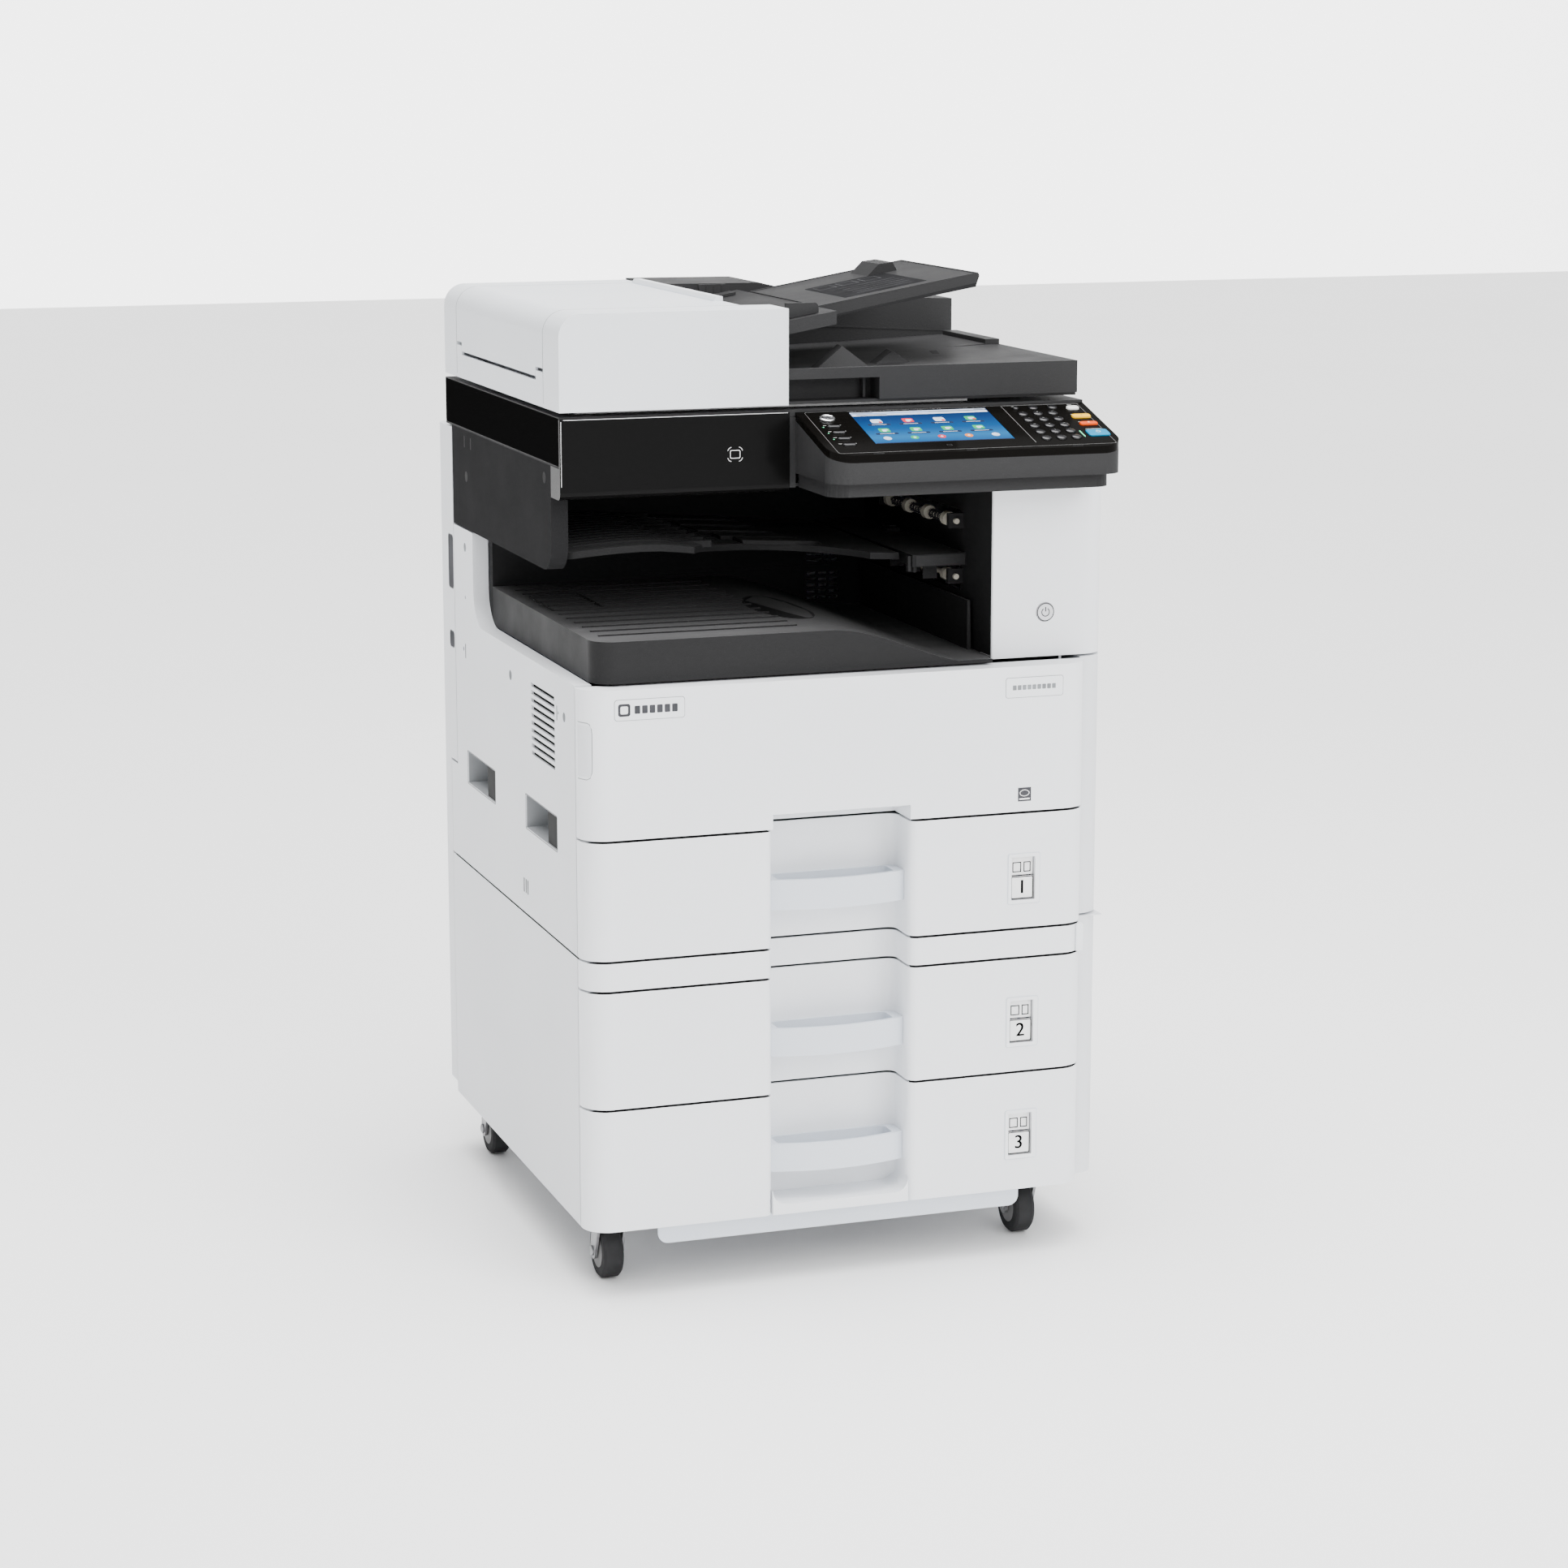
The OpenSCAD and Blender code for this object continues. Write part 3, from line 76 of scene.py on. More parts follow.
class Surface:
    """Principled material with its procedural inputs."""

    def __init__(self, name):
        self.mat = bpy.data.materials.new(name)
        self.mat.use_nodes = True
        self.nodes = self.mat.node_tree.nodes
        self.links = self.mat.node_tree.links
        self.shader = self.nodes["Principled BSDF"]
        self.coords = self.nodes.new("ShaderNodeTexCoord")

    def noise(self, scale, detail, stretch=(1, 1, 1)):
        mapping = self.nodes.new("ShaderNodeMapping")
        mapping.inputs["Scale"].default_value = stretch
        self.links.new(self.coords.outputs["Object"], mapping.inputs["Vector"])
        tex = self.nodes.new("ShaderNodeTexNoise")
        tex.inputs["Scale"].default_value = scale
        tex.inputs["Detail"].default_value = detail
        self.links.new(mapping.outputs["Vector"], tex.inputs["Vector"])
        return tex.outputs["Fac"]

    def grain_cells(self, scale):
        tex = self.nodes.new("ShaderNodeTexVoronoi")
        tex.inputs["Scale"].default_value = scale
        self.links.new(self.coords.outputs["Object"], tex.inputs["Vector"])
        return tex.outputs["Distance"]

    def ramp(self, value, stops):
        ramp = self.nodes.new("ShaderNodeValToRGB")
        while len(ramp.color_ramp.elements) < len(stops):
            ramp.color_ramp.elements.new(0.5)
        for element, (place, colour) in zip(ramp.color_ramp.elements, stops):
            element.position = place
            element.color = (*colour, 1.0)
        self.links.new(value, ramp.inputs["Fac"])
        return ramp.outputs["Color"]

    def drift(self, value, colour, low, high, start=0.3, end=0.7):
        """Colour that runs from a darker to a lighter shade of itself."""
        return self.ramp(value, [(start, shade(colour, low)), (end, shade(colour, high))])

    def roughness(self, value, low, high):
        node = self.nodes.new("ShaderNodeMapRange")
        node.inputs["From Min"].default_value = 0.3
        node.inputs["From Max"].default_value = 0.7
        node.inputs["To Min"].default_value = low
        node.inputs["To Max"].default_value = high
        self.links.new(value, node.inputs["Value"])
        self.links.new(node.outputs["Result"], self.shader.inputs["Roughness"])

    def colour(self, value):
        self.links.new(value, self.shader.inputs["Base Color"])

    def bump(self, value, distance, strength):
        node = self.nodes.new("ShaderNodeBump")
        node.inputs["Strength"].default_value = strength
        node.inputs["Distance"].default_value = distance
        self.links.new(value, node.inputs["Height"])
        self.links.new(node.outputs["Normal"], self.shader.inputs["Normal"])

    def edge_wear(self, base, worn, amount):
        """Lighter colour where the surface turns sharply."""
        geometry = self.nodes.new("ShaderNodeNewGeometry")
        mask = self.ramp(geometry.outputs["Pointiness"],
                         [(0.5, (0, 0, 0)), (0.5 + 0.5 * (1 - amount), (1, 1, 1))])
        mix = self.nodes.new("ShaderNodeMix")
        mix.data_type = "RGBA"
        self.links.new(mask, mix.inputs["Factor"])
        self.links.new(base, mix.inputs["A"])
        mix.inputs["B"].default_value = (*worn, 1.0)
        return mix.outputs["Result"]

    def set(self, **values):
        for key, value in values.items():
            self.shader.inputs[key.replace("_", " ")].default_value = value


def shade(colour, factor):
    return tuple(min(1.0, c * factor) for c in colour)


def moulded(name, colour, rough, grain=0.00012, cells=900.0, wear=0.0, shine=0.45):
    """Injection-moulded plastic with an eroded grain and slight colour drift."""
    s = Surface(name)
    drift = s.noise(2.2, 2.0)
    base = s.drift(drift, colour, 0.97, 1.03)
    if wear:
        base = s.edge_wear(base, shade(colour, 1 + 4 * wear), 0.85)
    s.colour(base)
    s.roughness(s.noise(18.0, 5.0), rough - 0.04, rough + 0.04)
    s.bump(s.grain_cells(cells), grain, 0.35)
    s.set(Specular_IOR_Level=shine)
    return s.mat


def painted_top_light_moulded(name, colour, top_light_colour):
    """Moulded plastic with painted light: its upper faces are made paler so that tops lying in shade look
    lit.
    """
    s = Surface(name)
    geometry = s.nodes.new("ShaderNodeNewGeometry")
    split = s.nodes.new("ShaderNodeSeparateXYZ")
    s.links.new(geometry.outputs["Normal"], split.inputs["Vector"])
    # painted light: faces that point up get the paler colour, standing in for light on tops that lie in shade
    top_light_mask = s.ramp(split.outputs["Z"], [(0.45, (0, 0, 0)), (0.9, (1, 1, 1))])
    drift = s.noise(6.0, 4.0, (1, 6, 6))
    mix = s.nodes.new("ShaderNodeMix")
    mix.data_type = "RGBA"
    s.links.new(top_light_mask, mix.inputs["Factor"])
    s.links.new(s.drift(drift, colour, 0.97, 1.03), mix.inputs["A"])
    s.links.new(s.drift(drift, top_light_colour, 0.9, 1.1), mix.inputs["B"])
    s.colour(mix.outputs["Result"])
    s.roughness(s.noise(18.0, 5.0), 0.45, 0.55)
    s.bump(s.grain_cells(COARSE_CELLS), COARSE, 0.35)
    s.set(Specular_IOR_Level=0.08)
    return s.mat


def glossy(name, colour, rough, coat=0.6, variation=0.1, shine=0.5):
    """Polished plastic with faint smears."""
    s = Surface(name)
    drift = s.noise(3.0, 2.0)
    s.colour(s.drift(drift, colour, 1 - variation, 1 + variation))
    s.roughness(s.noise(9.0, 6.0, (1, 1, 3)), rough * 0.7, rough * 1.6)
    s.bump(s.noise(60.0, 2.0), 0.00003, 0.2)
    s.set(Coat_Weight=coat, Coat_Roughness=0.03, Specular_IOR_Level=shine)
    return s.mat


def metal(name, colour, rough):
    """Metal with fine drawn lines."""
    s = Surface(name)
    lines = s.noise(120.0, 4.0, (1, 1, 12))
    s.colour(s.drift(lines, colour, 0.82, 1.12))
    s.roughness(lines, rough - 0.1, rough + 0.1)
    s.bump(lines, 0.00005, 0.3)
    s.set(Metallic=1.0)
    return s.mat


def galvanised(name, colour):
    """Zinc-coated sheet with its spangle."""
    s = Surface(name)
    tex = s.nodes.new("ShaderNodeTexVoronoi")
    tex.inputs["Scale"].default_value = 160.0
    s.links.new(s.coords.outputs["Object"], tex.inputs["Vector"])
    s.colour(s.drift(tex.outputs["Color"], colour, 0.92, 1.06, 0.2, 0.8))
    s.roughness(s.noise(40.0, 4.0), 0.28, 0.5)
    s.bump(s.noise(90.0, 3.0), 0.00006, 0.3)
    s.set(Metallic=0.9)
    return s.mat


def rubber(name, colour, shine=0.12):
    """Matt rubber with dust in its pores."""
    s = Surface(name)
    s.colour(s.drift(s.noise(35.0, 6.0), colour, 0.8, 1.5, 0.35, 0.75))
    s.roughness(s.noise(70.0, 4.0), 0.65, 0.85)
    s.bump(s.noise(400.0, 3.0), 0.0001, 0.5)
    s.set(Specular_IOR_Level=shine)
    return s.mat


def clear_glass(name):
    s = Surface(name)
    s.roughness(s.noise(12.0, 5.0), 0.01, 0.05)
    s.set(Base_Color=(0.85, 0.93, 0.92, 1), Transmission_Weight=0.85, IOR=1.5)
    return s.mat


def lit(name, colour, strength):
    """Shape on the display: coloured and softly lit."""
    s = Surface(name)
    tone = s.drift(s.noise(140.0, 2.0), colour, 0.9, 1.08)
    s.colour(tone)
    s.links.new(tone, s.shader.inputs["Emission Color"])
    s.set(Emission_Strength=strength, Roughness=0.25, Specular_IOR_Level=0.15)
    return s.mat


def display_glow(name, low, high):
    """Blue sky gradient of the display, from its near edge to its far edge."""
    s = Surface(name)
    split = s.nodes.new("ShaderNodeSeparateXYZ")
    s.links.new(s.coords.outputs["Object"], split.inputs["Vector"])
    scale = s.nodes.new("ShaderNodeMapRange")
    scale.inputs["From Min"].default_value = low
    scale.inputs["From Max"].default_value = high
    s.links.new(split.outputs["Y"], scale.inputs["Value"])
    tone = s.ramp(scale.outputs["Result"], [
        (0.0, (0.012, 0.16, 0.52)), (0.2, (0.03, 0.32, 0.78)), (0.42, (0.012, 0.16, 0.52)),
        (0.75, (0.006, 0.06, 0.26)), (1.0, (0.004, 0.03, 0.14))])
    s.colour(s.ramp(s.noise(30.0, 2.0), [(0.3, (0.003, 0.006, 0.012)), (0.7, (0.004, 0.008, 0.016))]))
    s.links.new(tone, s.shader.inputs["Emission Color"])
    s.set(Emission_Strength=1.0, Roughness=0.16, Specular_IOR_Level=0.08)
    return s.mat


def foam(name, colour):
    s = Surface(name)
    s.colour(s.drift(s.noise(50.0, 3.0), colour, 0.95, 1.03))
    s.bump(s.noise(600.0, 2.0), 0.0001, 0.4)
    s.set(Roughness=0.8)
    return s.mat


# depth and density of the coarse grain on the dark mouldings
COARSE, COARSE_CELLS = 0.0002, 700.0

# finishes by the record's material slots: maker, slot and the maker's values
FINISHES = (
    (moulded, "front_white", (0.80, 0.815, 0.84), 0.42),
    (moulded, "side_white", (0.70, 0.715, 0.74), 0.48),
    (moulded, "handle_grey", (0.62, 0.66, 0.72), 0.32, 0.00006, 1400.0),
    (moulded, "feeder_white", (0.71, 0.735, 0.765), 0.40),
    (moulded, "charcoal", (0.019, 0.019, 0.0195), 0.50, COARSE, COARSE_CELLS, 0.1, 0.08),
    (moulded, "cavity_black", (0.012, 0.012, 0.0125), 0.55, COARSE, COARSE_CELLS, 0.1, 0.05),
    (glossy, "gloss_black", (0.003, 0.003, 0.003), 0.14, 0.0, 0.1, 0.06),
    (glossy, "bezel", (0.003, 0.0027, 0.0024), 0.14, 0.0, 0.1, 0.03),
    (display_glow, "screen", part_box("touch_screen")[0][1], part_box("touch_screen")[1][1]),
    (clear_glass, "platen"),
    (foam, "pad_white", (0.85, 0.85, 0.85)),
    (galvanised, "sheet_steel", (0.52, 0.53, 0.55)),
    (galvanised, "drawer_metal", (0.34, 0.36, 0.39)),
    (galvanised, "caster_steel", (0.30, 0.30, 0.31)),
    (rubber, "caster_black", (0.022, 0.022, 0.023)),
    (rubber, "roller_grey", (0.42, 0.40, 0.34)),
    (glossy, "drum_green", (0.03, 0.22, 0.15), 0.2),
    (moulded, "toner_black", (0.03, 0.03, 0.03), 0.4),
    (moulded, "fuser_grey", (0.12, 0.12, 0.12), 0.5),
    (glossy, "key_dark", (0.008, 0.008, 0.009), 0.2, 0.15, 0.1, 0.35),
    (glossy, "key_yellow", (0.80, 0.44, 0.0), 0.3, 0.0, 0.04, 0.1),
    (glossy, "key_orange", (0.62, 0.06, 0.0), 0.3, 0.0, 0.04, 0.1),
    (glossy, "key_cyan", (0.0, 0.19, 0.36), 0.3, 0.0, 0.04, 0.1),
    (moulded, "button_grey", (0.62, 0.62, 0.64), 0.35),
)
M = {slot: maker(slot, *values) for maker, slot, *values in FINISHES}
# finishes of small details
silver = metal("silver_trim", (0.75, 0.75, 0.76), 0.25)
dark_gap = rubber("dark_gap", (0.012, 0.012, 0.013))
card_white = foam("card_white", (0.86, 0.86, 0.86))
print_grey = rubber("print_grey", (0.045, 0.045, 0.05))
key_white = glossy("key_white", (0.72, 0.73, 0.70), 0.25, 0.4, 0.04)
icon_white = lit("icon_white", (0.42, 0.46, 0.54), 0.6)
icon_red = lit("icon_red", (0.42, 0.025, 0.04), 0.5)
icon_green = lit("icon_green", (0.015, 0.26, 0.08), 0.5)
icon_orange = lit("icon_orange", (0.55, 0.14, 0.01), 0.5)
icon_blue = lit("icon_blue", (0.10, 0.24, 0.52), 0.5)
icon_dark = lit("icon_dark", (0.012, 0.02, 0.045), 0.2)
side_gloss = moulded("side_gloss", (0.0035, 0.0035, 0.0035), 0.40, 0.00004, 900.0, shine=0.0)
side_charcoal = moulded("side_charcoal", (0.012, 0.012, 0.0125), 0.60, COARSE, COARSE_CELLS, 0.1, 0.006)
# painted light: paler upper faces on the trays and slats of the paper path
paper_path_painted_top_light = painted_top_light_moulded("paper_path_painted_top_light", (0.017, 0.017, 0.0175), (0.075, 0.075, 0.076))
inner_grey = moulded("inner_grey", (0.26, 0.27, 0.28), 0.55, shine=0.2)
seam_grey = rubber("seam_grey", (0.20, 0.21, 0.22))
label_grey = rubber("label_grey", (0.055, 0.055, 0.058), shine=0.05)
label_black = rubber("label_black", (0.010, 0.010, 0.011), shine=0.05)
led_green = lit("led_green", (0.10, 0.60, 0.30), 1.0)


# ---------- mesh pieces ----------

def add_object(name, data):
    """New object in the scene."""
    obj = bpy.data.objects.new(name, data)
    bpy.context.scene.collection.objects.link(obj)
    return obj


class Build:
    """Collects closed shapes, each with its material, into one piece."""

    def __init__(self, name, slot, body="cabinet"):
        self.name, self.slot, self.body = name, slot, body
        self.bm = bmesh.new()
        self.mats = []
        self.current = 0
        self.use(M[slot])

    def use(self, material):
        if material not in self.mats:
            self.mats.append(material)
        self.current = self.mats.index(material)
        return self

    def face(self, verts):
        f = self.bm.faces.new(verts)
        f.material_index = self.current
        return f

    def prism(self, ring, push):
        """Closed prism from a ring of points pushed along a vector."""
        low = [self.bm.verts.new(p) for p in ring]
        high = [self.bm.verts.new(Vector(p) + Vector(push)) for p in ring]
        self.face(low[::-1])
        self.face(high)
        n = len(ring)
        for i in range(n):
            self.face([low[i], low[(i + 1) % n], high[(i + 1) % n], high[i]])
        return self

    def box(self, low, high):
        """Box between two corners in layout millimetres."""
        (x0, y0, z0), (x1, y1, z1) = at(*low), at(*high)
        return self.prism([(x, y, z0) for x, y in rect(x0, x1, y0, y1)], (0, 0, z1 - z0))

    def lathe(self, profile, centre, axis, segments=32):
        """Closed solid of revolution; profile is (radius, height) from pole to pole, in metres."""
        turn = Vector((0, 0, 1)).rotation_difference(Vector(axis)).to_matrix()
        rings = []
        for radius, height in profile:
            if radius < 1e-9:
                rings.append([self.bm.verts.new(Vector(centre) + turn @ Vector((0, 0, height)))])
                continue
            ring = []
            for k in range(segments):
                a = 2 * math.pi * k / segments
                p = Vector((radius * math.cos(a), radius * math.sin(a), height))
                ring.append(self.bm.verts.new(Vector(centre) + turn @ p))
            rings.append(ring)
        for lower, upper in zip(rings, rings[1:]):
            for k in range(segments):
                n = (k + 1) % segments
                if len(lower) == 1:
                    self.face([lower[0], upper[n], upper[k]])
                elif len(upper) == 1:
                    self.face([lower[k], lower[n], upper[0]])
                else:
                    self.face([lower[k], lower[n], upper[n], upper[k]])
        return self

    def tube(self, points, radius, sides=10):
        """Round wire with closed ends along a list of points."""
        points = [Vector(p) for p in points]
        rings = []
        up = Vector((0, 0, 1))
        for i, p in enumerate(points):
            along = (points[min(i + 1, len(points) - 1)] - points[max(i - 1, 0)]).normalized()
            side = along.cross(up if abs(along.z) < 0.95 else Vector((0, 1, 0))).normalized()
            other = side.cross(along)
            rings.append([self.bm.verts.new(p + radius * (math.cos(2 * math.pi * k / sides) * side
                                                          + math.sin(2 * math.pi * k / sides) * other))
                          for k in range(sides)])
        for a, b in zip(rings, rings[1:]):
            for k in range(sides):
                self.face([a[k], a[(k + 1) % sides], b[(k + 1) % sides], b[k]])
        self.face(rings[0][::-1])
        self.face(rings[-1])
        return self

    def done(self, bevel, segments=2, replaces=()):
        bmesh.ops.recalc_face_normals(self.bm, faces=self.bm.faces[:])
        mesh = bpy.data.meshes.new(self.name)
        self.bm.to_mesh(mesh)
        self.bm.free()
        obj = add_object(self.name, mesh)
        for material in self.mats:
            mesh.materials.append(material)
        soften(obj, bevel, segments)
        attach(obj, self.body)
        if replaces:
            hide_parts(*replaces)
        return obj


def soften(obj, width, segments=2, angle=35):
    """Rounded edges and smooth shading that stops at real edges."""
    mesh = obj.data
    mesh.polygons.foreach_set("use_smooth", [True] * len(mesh.polygons))
    mesh.set_sharp_from_angle(angle=math.radians(angle))
    if width:
        bevel = obj.modifiers.new("soft_edges", "BEVEL")
        bevel.width = width
        bevel.segments = segments
        bevel.limit_method = "ANGLE"
        bevel.angle_limit = math.radians(angle)
        bevel.harden_normals = True
        bevel.use_clamp_overlap = True


def arc(cx, cy, radius, start, end, steps):
    """Points of an arc, angles in degrees."""
    return [(cx + radius * math.cos(math.radians(start + (end - start) * i / steps)),
             cy + radius * math.sin(math.radians(start + (end - start) * i / steps)))
            for i in range(steps + 1)]


def rounded(x0, x1, y0, y1, r, steps=6):
    """Outline of a rectangle with round corners."""
    return (arc(x1 - r, y0 + r, r, -90, 0, steps) + arc(x1 - r, y1 - r, r, 0, 90, steps)
            + arc(x0 + r, y1 - r, r, 90, 180, steps) + arc(x0 + r, y0 + r, r, 180, 270, steps))


# ---------- places on the object ----------

def front(y):
    """Upright plane facing the user at a depth: u is X, v is Z, h stands out to the front."""
    return lambda u, v, h: at(u, y - h, v)


def left():
    """Left side plane: u is Y, v is Z, h stands out to the left."""
    return lambda u, v, h: at(-h, u, v)


def right(x):
    """Upright plane facing right: u is Y, v is Z, h stands out to the right."""
    return lambda u, v, h: at(x + h, u, v)


def back(y):
    """Upright plane facing back: u is X, v is Z, h stands out to the back."""
    return lambda u, v, h: at(u, y + h, v)


def flat(z):
    """Level plane: u is X, v is Y, h stands up."""
    return lambda u, v, h: at(u, v, z + h)


def panel_at(x, y):
    """Local axes on the sloping panel face round a point."""
    base = at(x, y, PANEL_HEIGHT + math.tan(PANEL_TILT) * y)
    along = Vector((0, math.cos(PANEL_TILT), math.sin(PANEL_TILT)))
    normal = Vector((0, -math.sin(PANEL_TILT), math.cos(PANEL_TILT)))
    return lambda u, v, h: base + (Vector((u, 0, 0)) + along * v + normal * h) * MM


TRAY_TILT = math.radians(9.8)


def tray_height(x):
    return 1003 + math.tan(TRAY_TILT) * (x - 215)


def tray_at(u, v, h):
    """Point on the document tray's top face."""
    return at(u, v, tray_height(u)) + Vector((-math.sin(TRAY_TILT), 0, math.cos(TRAY_TILT))) * h * MM


def panel_plan(drop=0.0):
    """Panel face by its plan: u is X, v is level Y, h stands out square to the face."""
    here, cos = panel_at(0, 0), math.cos(PANEL_TILT)
    return lambda u, v, h: here(u, v / cos, h - drop)


def circle(u, v, r, steps):
    return arc(u, v, r, 0, 360, steps)[:-1]


def oval(u, v, a, b, steps=24):
    return [(u + a * math.cos(2 * math.pi * i / steps), v + b * math.sin(2 * math.pi * i / steps))
            for i in range(steps)]


def rect(u0, u1, v0, v1):
    return [(u0, v0), (u1, v0), (u1, v1), (u0, v1)]


def shrink(outline, by):
    """Outline moved inwards by about some distance on every side."""
    us, vs = [p[0] for p in outline], [p[1] for p in outline]
    cu, cv = (min(us) + max(us)) / 2, (min(vs) + max(vs)) / 2
    a, b = (max(us) - min(us)) / 2, (max(vs) - min(vs)) / 2
    return [(cu + (u - cu) * (a - by) / a, cv + (v - cv) * (b - by) / b) for u, v in outline]


def stack(b, rings, closed=False):
    """Skin over rings of equal length, capped at both ends or joined into a loop."""
    layers = [[b.bm.verts.new(p) for p in ring] for ring in rings]
    pairs = list(zip(layers, layers[1:])) + ([(layers[-1], layers[0])] if closed else [])
    n = len(layers[0])
    for lower, upper in pairs:
        for k in range(n):
            b.face([lower[k], lower[(k + 1) % n], upper[(k + 1) % n], upper[k]])
    if not closed:
        b.face(layers[0][::-1])
        b.face(layers[-1])


def plate(b, outline, place, low, high):
    stack(b, [[place(u, v, h) for u, v in outline] for h in (low, high)])


def mark(b, outline, place, top):
    """Thin mark that starts just above its surface."""
    plate(b, outline, place, 0.02, top)


def inlay(b, outline, place):
    """Patch let into a surface, almost flush with it."""
    plate(b, outline, place, INLAY_LOW, 0.03)


def ring(b, outer, inner, place, low, high, lip=0.0):
    """Frame between two outlines, its inner edge higher or lower by a lip."""
    stack(b, [[place(u, v, low) for u, v in outer], [place(u, v, high) for u, v in outer],
              [place(u, v, high + lip) for u, v in inner], [place(u, v, low) for u, v in inner]], True)


def rim(b, u0, u1, v0, v1, width, radii, place, low, high, lip=0.0):
    """Frame of even width inside a rectangle, with its outer and inner corner radius."""
    ring(b, rounded(u0, u1, v0, v1, radii[0]),
         rounded(u0 + width, u1 - width, v0 + width, v1 - width, radii[1]), place, low, high, lip)


def pillow(b, outline, place, low, high, crown=2.4):
    """Key or pad with a crowned top."""
    steps = [(low, 0.0), (high * 0.45, 0.0), (high * 0.72, crown * 0.14), (high * 0.9, crown * 0.45),
             (high, crown)]
    stack(b, [[place(u, v, h) for u, v in shrink(outline, by)] for h, by in steps])


def digit(b, text, place, size, height):
    """Raised number."""
    curve = bpy.data.curves.new("digit", "FONT")
    curve.body = text
    curve.align_x = "CENTER"
    curve.align_y = "CENTER"
    curve.extrude = 0.01
    holder = bpy.data.objects.new("digit", curve)
    mesh = bpy.data.meshes.new_from_object(holder)
    verts = [b.bm.verts.new(place(v.co.x * size, v.co.y * size, height + (0.06 if v.co.z > 0 else 0.0)))
             for v in mesh.vertices]
    for poly in mesh.polygons:
        b.face([verts[i] for i in poly.vertices])
    bpy.data.objects.remove(holder)
    bpy.data.curves.remove(curve)
    bpy.data.meshes.remove(mesh)


# ---------- drawers and front cover ----------

LABEL_Z = {1: 397, 2: 239, 3: 113}


def make_label_windows():
    for number, z in LABEL_Z.items():

        def face(u, v, h):
            return at(u, -h, z + v)

        body = f"drawer_{number}"
        b = Build(f"{body}_window_frame", "front_white", body)
        ring(b, rounded(467.6, 503.6, -3.2, 51.2, 2),
             rounded(471.4, 498.6, 0.6, 47.4, 1), face, 0.02, 0.9, -0.5)
        b.use(M["handle_grey"])
        rim(b, 466.8, 504.4, -4, 52, 0.8, (2.6, 2), face, 0.02, 0.4)
        b.done(0.0002)
        b = Build(f"{body}_size_card", "cavity_black", body).use(dark_gap)
        plate(b, rect(471.2, 498.8, 0.3, 47.7), face, -12.8, -11.5)
        b.use(card_white)
        plate(b, rect(472, 498, 27, 47), face, -6, -5.4)
        plate(b, rounded(472, 498, 1, 26, 1.5), face, -4.0, -3.2)
        b.use(dark_gap)
        ring(b, rect(474.6, 484.6, 30, 41), rect(475.6, 483.6, 31, 40), face, -5.4, -5.1)
        ring(b, rect(487.4, 495.4, 30, 41), rect(488.4, 494.4, 31, 40), face, -5.4, -5.1)
        rim(b, 472.2, 497.8, 1.2, 25.8, 1.0, (1.4, 1), face, -3.4, -3.0)
        for shift in (-0.35, 0.0, 0.35):
            digit(b, str(number), lambda u, v, h: face(485 + u + shift, 13.5 + v, h), 21, -3.15)
        b.done(0)


def front_plan(x0, x1, depth, left_r, right_r):
    """Outline of a front's top edge, round at the two corners that face the user."""
    return (arc(x0 + left_r, depth[0] + left_r, left_r, 215, 270, 10)
            + arc(x1 - right_r, depth[0] + right_r, right_r, 270, 325, 10)
            + [(x1 - 4, depth[1]), (x0 + 4, depth[1])])


def make_seams():
    """Dark shadow strips in the gaps, and the joints of the feeder's end caps."""
    inset, lift = 0.5, 0.15
    depth = (inset, 14)
    outer_r, inner_r = CORNER_R - inset, 10 - inset
    for node, body in (("drawer_1_front", "drawer_1"), ("drawer_2_front", "drawer_2"),
                       ("drawer_3_front", "drawer_3"), ("feeder_band", "cabinet")):
        face = flat(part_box(node)[1][2] / MM)
        b = Build(node + "_seam", "cavity_black", body).use(dark_gap)
        plate(b, front_plan(inset, NICHE[0] - inset, depth, outer_r, inner_r), face, 0.01, lift)
        plate(b, front_plan(NICHE[1] + inset, FRONT_WIDTH - inset, depth, inner_r, outer_r), face, 0.01, lift)
        b.done(0)
    b = Build("left_cover_seam", "cavity_black").use(dark_gap)
    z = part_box("left_cover_lower")[1][2] / MM
    plate(b, rect(0.5, 1.9, 32, 556), flat(z), 0.01, lift)
    b.done(0)
    b = Build("feeder_cap_joints", "feeder_white", "document_feeder").use(seam_grey)
    r, proud, deep = 24, 0.03, 0.5
    for y in (138.3, 504.6):
        outline = ([(-proud, 930)] + arc(r, FEEDER_TOP - r, r + proud, 180, 90, 12)
                   + [(214, FEEDER_TOP + proud), (214, FEEDER_TOP - deep)]
                   + arc(r, FEEDER_TOP - r, r - deep, 90, 180, 12) + [(deep, 930)])
        plate(b, outline, lambda u, v, h: at(u, y + h, v), 0.0, 1.1)
    b.done(0)


